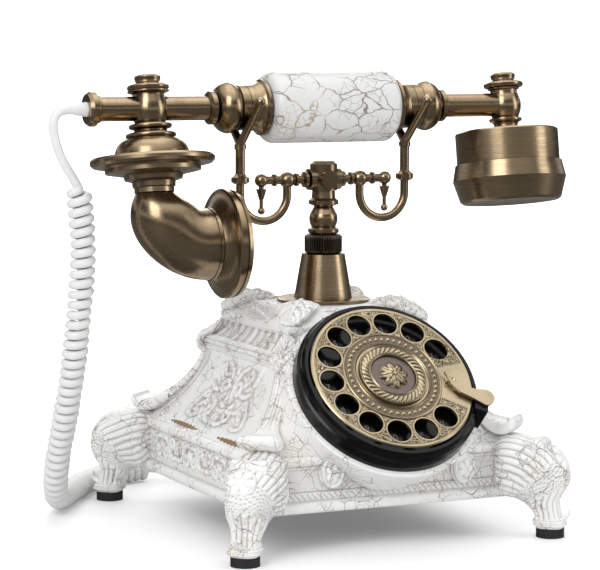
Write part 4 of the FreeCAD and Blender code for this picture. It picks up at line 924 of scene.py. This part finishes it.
def flowerHeight(r, a):
    # six round petals with a groove down each, round a domed heart
    petal = np.abs(np.cos(3 * a)) ** 0.7
    edge = np.clip(1 - (r / (7.4 * (0.62 + 0.38 * petal))) ** 2, 0, 1)
    heart = 1.5 * np.sqrt(np.clip(1 - (r / 1.9) ** 2, 0, 1))
    groove = 0.35 * np.exp(-(np.sin(3 * a + np.pi / 2) / 0.25) ** 2) * smoothStep(2.0, 3.0, r)
    return 2.1 * np.sqrt(edge) * smoothStep(0.5, 3.2, r) - groove + heart - 0.7


corners = {"front_left": (-1, -1), "front_right": (1, -1), "rear_left": (-1, 1), "rear_right": (1, 1)}
hip = {"line": [(46.4, 89.0), (47.0, 84.0), (48.8, 79.0), (51.6, 73.4), (55.6, 67.4), (60.2, 62.0),
                (65.0, 57.6), (69.4, 56.2), (72.4, 58.2), (73.0, 61.4)],
       "wide": [3.4, 3.4, 3.5, 3.6, 3.8, 4.4, 8.6, 11.6, 11.2, 8.6],
       "thick": [1.6, 1.7, 1.8, 1.9, 2.2, 2.8, 3.6, 4.0, 3.0, 1.4]}


def hipRelief(t, arc, c, s):
    # three ribs with cross lines down the strap, which fade where it swells into the smooth tongue
    strap = 1 - smoothStep(0.5, 0.66, t)
    return strap * (0.7 * np.abs(np.cos(np.pi * 2.0 * c)) - 0.35
                    - 0.35 * np.exp(-((np.mod(t * 9, 1) - 0.5) / 0.07) ** 2))


def makeHip(name, sx, sy, c):
    line = flowing(c["line"], 90)
    middle = np.stack([sx * line[:, 0], sy * line[:, 0] * base["ratio"] + midY, line[:, 1]], -1)
    out = np.array([sx, sy * base["ratio"], 0.0])
    out /= np.linalg.norm(out)
    across = np.cross(out, (0, 0, 1.0))
    along = directions(middle)
    wide = flowing(np.stack([c["wide"], c["thick"]], -1), 90)
    piece = swept(name, middle, across * wide[:, :1], np.cross(along, across) * wide[:, 1:], 56, 3.0,
                  hipRelief)
    inResin(piece)


def leafRelief(t, arc, c, s):
    # a middle rib, veins that fan from it towards the tip, and small curled lobes between the veins
    fan = 2 * np.pi * (6 * t - 1.6 * np.abs(c))
    lobes = np.sqrt(np.abs(np.sin(fan / 2))) * (0.5 + 0.5 * np.sqrt(np.abs(np.cos(np.pi * 4 * c + fan))))
    return (1.9 * lobes - 1.1 + 1.0 * bump(c, 0.0, 0.12)) * np.abs(s) * smoothStep(0, 0.1, t)


def makeLeaf(name, points, across, width, thickness, lobes=4):
    line = flowing(points, 96)
    t = np.linspace(0, 1, 96)
    along = directions(line)
    wide = (width * np.sin(np.pi * np.clip(0.08 + 0.92 * t, 0, 1) ** 0.75) ** 0.6
            * (0.82 + 0.18 * np.abs(np.sin(np.pi * lobes * t))))
    thick = thickness * np.sin(np.pi * (0.1 + 0.86 * t)) ** 0.5
    across = np.asarray(across, float)
    piece = swept(name, line, across * wide[:, None], np.cross(across, along) * thick[:, None], 120, 2.2,
                  leafRelief)
    inResin(piece)


def makeLeaves():
    for name, (sx, sy) in corners.items():
        out = np.array([sx, sy * base["ratio"], 0.0])
        out /= np.linalg.norm(out)
        across = np.cross((0, 0, 1.0), out)
        at = lambda half, z: (sx * half, sy * half * base["ratio"] + midY, z)
        makeLeaf("roof_leaf_" + name, [at(19, 116.2), at(24, 117.4), at(29.0, 117.2), at(33.6, 114.8),
                                       at(37.6, 112.0), at(40.2, 111.4)], across, 10.0, 3.2)
        makeLeaf("corner_leaf_" + name, [at(46.6, 86.4), at(48.0, 90.4), at(47.2, 94.8), at(43.0, 98.6),
                                         at(40.2, 102.4), at(39.6, 105.2)], across, 6.4, 1.9)
    for side, sx in (("left", -1), ("right", 1)):
        makeLeaf("roof_crest_" + side, [(sx * 37.6, midY + 13, 109.8), (sx * 38.4, midY + 6, 111.4),
                                        (sx * 38.6, midY, 112.0), (sx * 38.4, midY - 6, 111.4),
                                        (sx * 37.6, midY - 13, 109.8)], (0, 0, 1.0), 2.6, 1.8, 5)
    for number, (x, z) in enumerate(((-32.2, 39.6), (42.6, 36.6))):
        shield = polar("cartouche_%d" % (number + 1), (x, -77.2, z), (1, 0, 0), (0, 0, 1), (0, -1, 0), 8.2,
                       cartoucheHeight, 34, 110, squash=0.86)
        inResin(shield)


def cartoucheHeight(r, a):
    # a shield with a raised rim round a flower of five petals
    reach = 7.6 * (1 - 0.10 * np.cos(2 * a) + 0.10 * np.sin(a))
    rim = 1.2 * np.exp(-((r - reach * 0.9) / 0.8) ** 2)
    petal = np.abs(np.cos(2.5 * a)) ** 0.6
    flower = (2.0 * np.sqrt(np.clip(1 - (r / (5.2 * (0.6 + 0.4 * petal))) ** 2, 0, 1))
              * smoothStep(0.4, 2.2, r))
    heart = 1.2 * np.sqrt(np.clip(1 - (r / 1.3) ** 2, 0, 1))
    return 0.7 + rim + flower + heart - 1.6 * smoothStep(reach * 0.97, reach * 1.06, r)


for name, (sx, sy) in corners.items():
    makeLeg("leg_" + name, sx, sy, legShape)
    makeHip("hip_" + name, sx, sy, hip)
makeLeaves()
print("legs and leaves carved")


# the dial: gold with a stippled ground, smooth rims round its holes and raised rings
dial = {"holeCircle": 33.65, "firstHole": 26.6, "pitch": 25.64,
        "beads": 44, "beadCircle": 23.1, "beadSize": 1.08, "gold": (0.50, 0.415, 0.28, 1),
        "ground": (0.075, 0.056, 0.036, 1),
        "stone": (0.10, 0.076, 0.056, 1), "digits": "1234567890*#"}


def dialGold(name, d, patterned):
    made, tree, shader, place = startMaterial(name)
    centre = tuple(dialCentre * mm)
    local = add(tree, "VectorMath", {0: place, 1: centre}, operation="SUBTRACT").outputs[0]
    high = add(tree, "VectorMath", {0: local, 1: tuple(dialUp / mm)},
               operation="DOT_PRODUCT").outputs["Value"]
    across = add(tree, "VectorMath", {0: local, 1: (1 / mm, 0, 0)},
                 operation="DOT_PRODUCT").outputs["Value"]
    reach = sums(tree, "SQRT", sums(tree, "ADD", sums(tree, "MULTIPLY", high, high),
                                    sums(tree, "MULTIPLY", across, across)))
    angle = sums(tree, "DEGREES", sums(tree, "ARCTAN2", high, across))
    steps = sums(tree, "DIVIDE", sums(tree, "SUBTRACT", angle, d["firstHole"]), d["pitch"])
    steps = sums(tree, "MODULO", sums(tree, "ADD", steps, 2 * 360 / d["pitch"]), 360 / d["pitch"])
    near = sums(tree, "MINIMUM", sums(tree, "ROUND", steps), 11.0)
    turn = sums(tree, "RADIANS", sums(tree, "MULTIPLY", sums(tree, "SUBTRACT", steps, near), d["pitch"]))
    beside = sums(tree, "MULTIPLY", reach, sums(tree, "SINE", turn))
    ahead = sums(tree, "SUBTRACT", sums(tree, "MULTIPLY", reach, sums(tree, "COSINE", turn)),
                 d["holeCircle"])
    toHole = sums(tree, "SQRT", sums(tree, "ADD", sums(tree, "MULTIPLY", beside, beside),
                                     sums(tree, "MULTIPLY", ahead, ahead)))
    ground = sums(tree, "MULTIPLY", ranged(tree, toHole, 7.0, 7.4), ranged(tree, reach, 26.6, 27.2))
    ground = sums(tree, "MULTIPLY", ground, ranged(tree, reach, 41.0, 41.6, 1.0, 0.0))
    ground = sums(tree, "MULTIPLY", ground,
                  ranged(tree, sums(tree, "ABSOLUTE", sums(tree, "SUBTRACT", steps, 12.52)), 0.75, 0.9))
    bend = add(tree, "TexNoise", {"Vector": place, "Scale": 420.0, "Detail": 2.0})
    shift = add(tree, "VectorMath", {0: bend.outputs["Color"], "Scale": 0.0016}, operation="SCALE")
    bent = add(tree, "VectorMath", {0: place, 1: shift.outputs[0]}, operation="ADD")
    cells = add(tree, "TexVoronoi", {"Vector": bent.outputs[0], "Scale": 640.0, "Randomness": 0.8},
                feature="F1")
    curls = ranged(tree, sums(tree, "ABSOLUTE",
                              sums(tree, "SINE", sums(tree, "MULTIPLY", cells.outputs[0], 7.0))), 0.25,
                   0.75)
    height = sums(tree, "MULTIPLY", curls, ground)
    cloud = placed(tree, mottle, {"Place": place, "Size": 60.0})
    colour = blended(tree, ranged(tree, cloud["Cloud"], 0.4, 0.75, 0.0, 0.35), d["gold"], d["ground"])
    if patterned:
        dark = sums(tree, "MULTIPLY", sums(tree, "SUBTRACT", 1.0, curls),
                    sums(tree, "MULTIPLY", ground, 0.95))
        colour = blended(tree, dark, colour, d["ground"])
        bump = add(tree, "Bump", {"Height": height, "Strength": 1.0, "Distance": 0.0005})
        fine = add(tree, "Bump", {"Height": cloud["Grain"], "Strength": 0.15, "Distance": 0.0001,
                                  "Normal": bump.outputs[0]})
    else:
        # the ground below the raised rings and beads is darker, and the hollows of the small fan mark get
        # painted shade
        sunk = add(tree, "Attribute", attribute_name="hollow").outputs["Fac"]
        colour = blended(tree, sums(tree, "MULTIPLY", sunk, 0.85, clamp=True), colour, d["stone"])
        fine = add(tree, "Bump", {"Height": cloud["Grain"], "Strength": 0.2, "Distance": 0.0001})
    rough = ranged(tree, cloud["Cloud"], 0.3, 0.7, 0.34, 0.26)
    plug(tree, shader, {"Base Color": colour, "Roughness": rough, "Normal": fine.outputs[0],
                        "Metallic": 1.0})
    return made


dialGold("dial_gold_ground", dial, True)
ringGold = dialGold("dial_gold_rings", dial, False)
dialStone = plainFinish("dial_brown_ground", (0.17, 0.135, 0.125), 0.42, metal=0.9, spread=0.25,
                        size=300.0, bumpy=0.4)


def beadRing(r, a):
    # two thin rings with round beads between them
    d = dial
    turn = (np.mod(a * d["beads"] / (2 * np.pi), 1) - 0.5) * 2 * np.pi / d["beads"]
    away = ((r - d["beadCircle"]) ** 2 + (d["beadCircle"] * turn) ** 2) / d["beadSize"] ** 2
    lines = 0.5 * np.exp(-((r - 20.2) / 0.32) ** 2) + 0.5 * np.exp(-((r - 26.0) / 0.36) ** 2)
    return 0.12 + lines + 0.85 * np.sqrt(np.clip(1 - away, 0, 1))


def medallion(r, a):
    # a rim, a wreath of small leaves, an inner rim and a sunk middle
    rims = 0.55 * np.exp(-((r - 17.9) / 0.4) ** 2) + 0.55 * np.exp(-((r - 12.4) / 0.35) ** 2)
    twist = np.sin(18 * (a + 0.05 * (r - 15.1)))
    leaf = np.clip(1 - ((r - 15.15) / 2.1) ** 2 - (1 - np.abs(twist)) ** 2 * 2.2, 0, 1)
    vein = 0.25 * np.exp(-((np.abs(twist) - 1.0) / 0.04) ** 2)
    return (1.7 + rims + 0.85 * np.sqrt(leaf) - vein * (leaf > 0) - 1.0 * (1 - smoothStep(11.4, 12.0, r))
            - 1.2 * smoothStep(18.2, 18.5, r))


def rosette(r, a):
    # two rows of rounded petals, the inner set between the outer, round a ball
    outer = np.abs(np.cos(4 * a)) ** 0.6
    inner = np.abs(np.sin(4 * a)) ** 0.6
    big = (np.sqrt(np.clip(1 - (r / (8.2 * (0.66 + 0.34 * outer))) ** 2, 0, 1))
           * (1.5 - 0.5 * bump(r * np.sin(4 * a) / 4, 0, 0.25)))
    small = (1.5 * np.sqrt(np.clip(1 - (r / (4.8 * (0.62 + 0.38 * inner))) ** 2, 0, 1))
             * smoothStep(0.2, 1.6, r))
    return 0.2 + big + 0.55 * small + 1.6 * np.sqrt(np.clip(1 - (r / 1.5) ** 2, 0, 1))


def makeDial(d):
    at, right = dialCentre, (1, 0, 0)
    ring = polar("dial_bead_ring", at + dialOut * 0.02, right, dialUp, dialOut, (19.4, 26.6), beadRing, 46,
                 528, body="dial", deep=0.6, ground=(0.14, 0.5))
    finish(ring, ringGold, "antique_brass")
    plate = polar("dial_wreath", at, right, dialUp, dialOut, 18.5, medallion, 92, 360, body="dial",
                  deep=0.0, ground=(1.7, 2.1))
    finish(plate, ringGold, "antique_brass", "dial_medallion")
    middle = polar("dial_middle", at + dialOut * 0.74, right, dialUp, dialOut, 11.7, lambda r,
                   a: 0.0 * r + 0.05, 10, 90, body="dial", deep=0.3)
    finish(middle, dialStone, "antique_brass")
    flower = polar("dial_rosette", at + dialOut * 0.7, right, dialUp, dialOut, 8.3, rosette, 60, 240,
                   body="dial", deep=0.1, ground=(0.9, 1.5))
    finish(flower, ringGold, "antique_brass")
    mark = at + dialUp * -7.2 + np.array([31.0, 0, 0]) + dialOut * 0.02
    fan = polar("dial_mark", mark, (0.93, 0.0, 0.0), dialUp, dialOut, 4.6,
                lambda r, a: 0.55 * np.exp(-((r * (1.35 + 0.35 * np.cos(3 * a)) - 4.4) / 0.55) ** 2)
                + 0.35 * np.exp(-(r / 1.2) ** 2), 26, 96, body="dial", deep=0.3)
    finish(fan, ringGold, "antique_brass")
    digits = bmesh.new()
    for number, sign in enumerate(d["digits"]):
        words = bpy.data.curves.new("digit", "FONT")
        words.body, words.size, words.align_x, words.align_y = sign, 5.2, "CENTER", "CENTER"
        held = bpy.data.objects.new("digit", words)
        flat = bpy.data.meshes.new_from_object(held)
        turn = math.radians(d["firstHole"] + d["pitch"] * number)
        x, y = d["holeCircle"] * math.cos(turn), d["holeCircle"] * math.sin(turn)
        place = dialPoint(0, 0, 5.93)
        spot = Matrix([[1, 0, 0, x], [0, dialUp[1], dialOut[1], place[1] + y * dialUp[1]],
                       [0, dialUp[2], dialOut[2], place[2] + y * dialUp[2]], [0, 0, 0, 1]])
        flat.transform(Matrix.Scale(mm, 4) @ spot)
        digits.from_mesh(flat)
        bpy.data.objects.remove(held)
    mesh = bpy.data.meshes.new("dial_digits")
    digits.to_mesh(mesh)
    digits.free()
    piece = bpy.data.objects.new("dial_digits", mesh)
    bpy.context.collection.objects.link(piece)
    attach(piece, "base")
    finish(piece, plainFinish("digit_grey", (0.16, 0.155, 0.15), 0.5, spread=0.1), "black_plastic")


makeDial(dial)
print("dial finished")


# small turned parts with detail of their own
boss = {"mouth": -98.6, "ear": 109.0, "axis": 219.6,
        "mouthBarrel": [(0.0, -9.3), (10.4, -9.3), (10.7, -9.0), (10.7, -8.5), (9.0, -7.9), (8.1, -7.3),
                        (8.4, -5.6), (9.1, -3.4), (9.5, -0.8),
                        (9.5, 1.4), (9.1, 4.0), (8.3, 6.2), (7.8, 7.3), (8.2, 7.7), (10.6, 8.1),
                        (11.1, 8.7), (11.1, 9.5), (10.6, 10.1),
                        (9.2, 10.4), (8.4, 10.9), (8.4, 11.7), (9.4, 12.1), (12.4, 12.7), (12.9, 13.3),
                        (12.9, 14.3), (12.4, 14.9),
                        (12.9, 15.3), (15.4, 16.5), (17.4, 18.5), (18.6, 20.9), (19.2, 23.6), (0.0, 23.6)],
        "earBarrel": [(0.0, -9.3), (8.4, -9.3), (8.7, -8.9), (8.4, -8.3), (7.4, -7.8), (7.2, -6.9),
                      (8.0, -4.6), (8.8, -2.0), (9.0, 0.4),
                      (8.7, 3.0), (7.9, 5.4), (7.2, 6.9), (7.7, 7.3), (8.8, 7.7), (9.0, 8.4), (8.7, 9.1),
                      (7.4, 9.7), (6.6, 10.6),
                      (6.5, 11.8), (7.2, 12.8), (8.2, 13.6), (9.0, 14.4), (0.0, 14.4)],
        "cap": [(0.0, 9.2), (8.6, 9.2), (10.2, 9.5), (10.7, 10.3), (10.7, 11.3), (10.1, 12.0), (8.8, 12.4),
                (7.4, 12.9), (6.5, 13.7),
                (6.4, 14.6), (6.7, 15.2), (6.7, 16.2), (6.1, 16.9), (4.6, 17.4), (2.4, 17.7), (0.0, 17.8)]}


def makeBosses(b):
    # swelling barrels with rounded rings, where the rod passes through, and a button on each
    down = np.array([0, -math.sin(tilt), -math.cos(tilt)])
    back = np.array([0, math.cos(tilt), -math.sin(tilt)])
    for side, name in (("mouth", "mouthpiece"), ("ear", "earpiece")):
        at = np.array([b[side], midY, b["axis"]])
        barrel = lathe(name + "_barrel", at, (1, 0, 0), back, down, b[side + "Barrel"], 96, "handset",
                       False, 40)
        finish(barrel, brassDown, "antique_brass", name + "_boss")
        button = lathe(name + "_button", at, (1, 0, 0), back, -down, b["cap"], 96, "handset", False, 40)
        finish(button, brassDown, "antique_brass", name + "_finial")


knurl = {"radius": 9.55, "ridges": 44, "rise": 0.42, "low": 142.2, "high": 152.4}


def makeKnurl(k):
    # straight ridges round a cylinder, chamfered at both ends
    z = np.array([k["low"], k["low"], k["low"] + 0.9, *np.linspace(k["low"] + 1.0, k["high"] - 1.0, 6),
                  k["high"] - 0.9, k["high"], k["high"]])
    inner = np.array([4.8, 8.6, 9.5, *[k["radius"]] * 6, 9.5, 8.6, 4.8])
    ridged = np.array([0, 0, 0.4, *[1] * 6, 0.4, 0, 0])
    a = np.linspace(0, 2 * np.pi, k["ridges"] * 8, endpoint=False)
    radius = inner[:, None] + ridged[:, None] * k["rise"] * np.cos(k["ridges"] * a)
    grid = np.stack([radius * np.cos(a), radius * np.sin(a) + midY,
                     np.broadcast_to(z[:, None], radius.shape)], -1)
    piece = surface("knurled_ring", grid, closeRows=True, closeColumns=True, crease=70)
    finish(piece, darkSteel, "dark_metal", "knurled_collar")


spring = {"turns": 7, "wire": 0.45}


def makeSpring(k):
    # a wire helix between the seats that its plain stand-in fills
    low, high = (np.array(v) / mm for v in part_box("hook_spring"))
    middle = (low + high) / 2
    reach = (high[0] - low[0]) / 2 - k["wire"]
    t = np.linspace(0, 1, k["turns"] * 26)
    turn = 2 * np.pi * k["turns"] * t
    rise = np.clip((t - 0.08) / 0.84, 0, 1)
    line = np.stack([middle[0] + reach * np.cos(turn), middle[1] + reach * np.sin(turn),
                     low[2] + k["wire"] + (high[2] - low[2] - 2 * k["wire"]) * rise], -1)
    piece = tube("hook_spring_wire", line, k["wire"], 8)
    finish(piece, plainSteel, "steel", "hook_spring")
    return piece


makeBosses(boss)
makeKnurl(knurl)
makeSpring(spring)
print("small parts finished")


# every CAD node gets the finish of what it is made of
nodeFinish = {
    "brass_turned_along": ["grip_cup_left", "grip_cup_right", "neck_ball_left", "neck_ball_right",
                           "handset_tube",
                           "cord_end_collar", "mouthpiece_bell", "mouthpiece_grille", "cradle_crossbar"],
    "brass_turned_down": ["mouthpiece_saucer", "receiver_drum", "receiver_cap"],
    "brass_turned_upright": ["cone_cover", "cradle_stem", "cradle_hub", "cradle_pendants"],
    "brass_cast": ["cradle_hook_left", "cradle_hook_right", "cradle_fork_left", "cradle_fork_right",
                   "mouthpiece_elbow"],
    "dial_gold_ground": ["finger_wheel"],
    "dial_gold_rings": ["finger_stop"],
}


def finishNodes():
    bySlot = {"cast_resin": whiteResin, "antique_brass": brassCast, "crackled_grip": gripCrackle,
              "dark_metal": darkSteel,
              "black_plastic": blackGloss, "steel": plainSteel, "bell_metal": bellMetal,
              "coil_winding": copperCoil,
              "board": boardGreen, "rubber_pad": blackRubber, "white_cord": cordWhite}
    chosen = {node: name for name, group in nodeFinish.items() for node in group}
    for name, piece in nodes.items():
        old = piece.data.materials[0].name if piece.data.materials else ""
        finish = bpy.data.materials.get(chosen.get(name, "")) or bySlot.get(old.split(".")[0], darkSteel)
        for place in range(max(1, len(piece.data.materials))):
            if piece.data.materials:
                piece.data.materials[place] = finish
            else:
                piece.data.materials.append(finish)


finishNodes()
print("nodes finished")
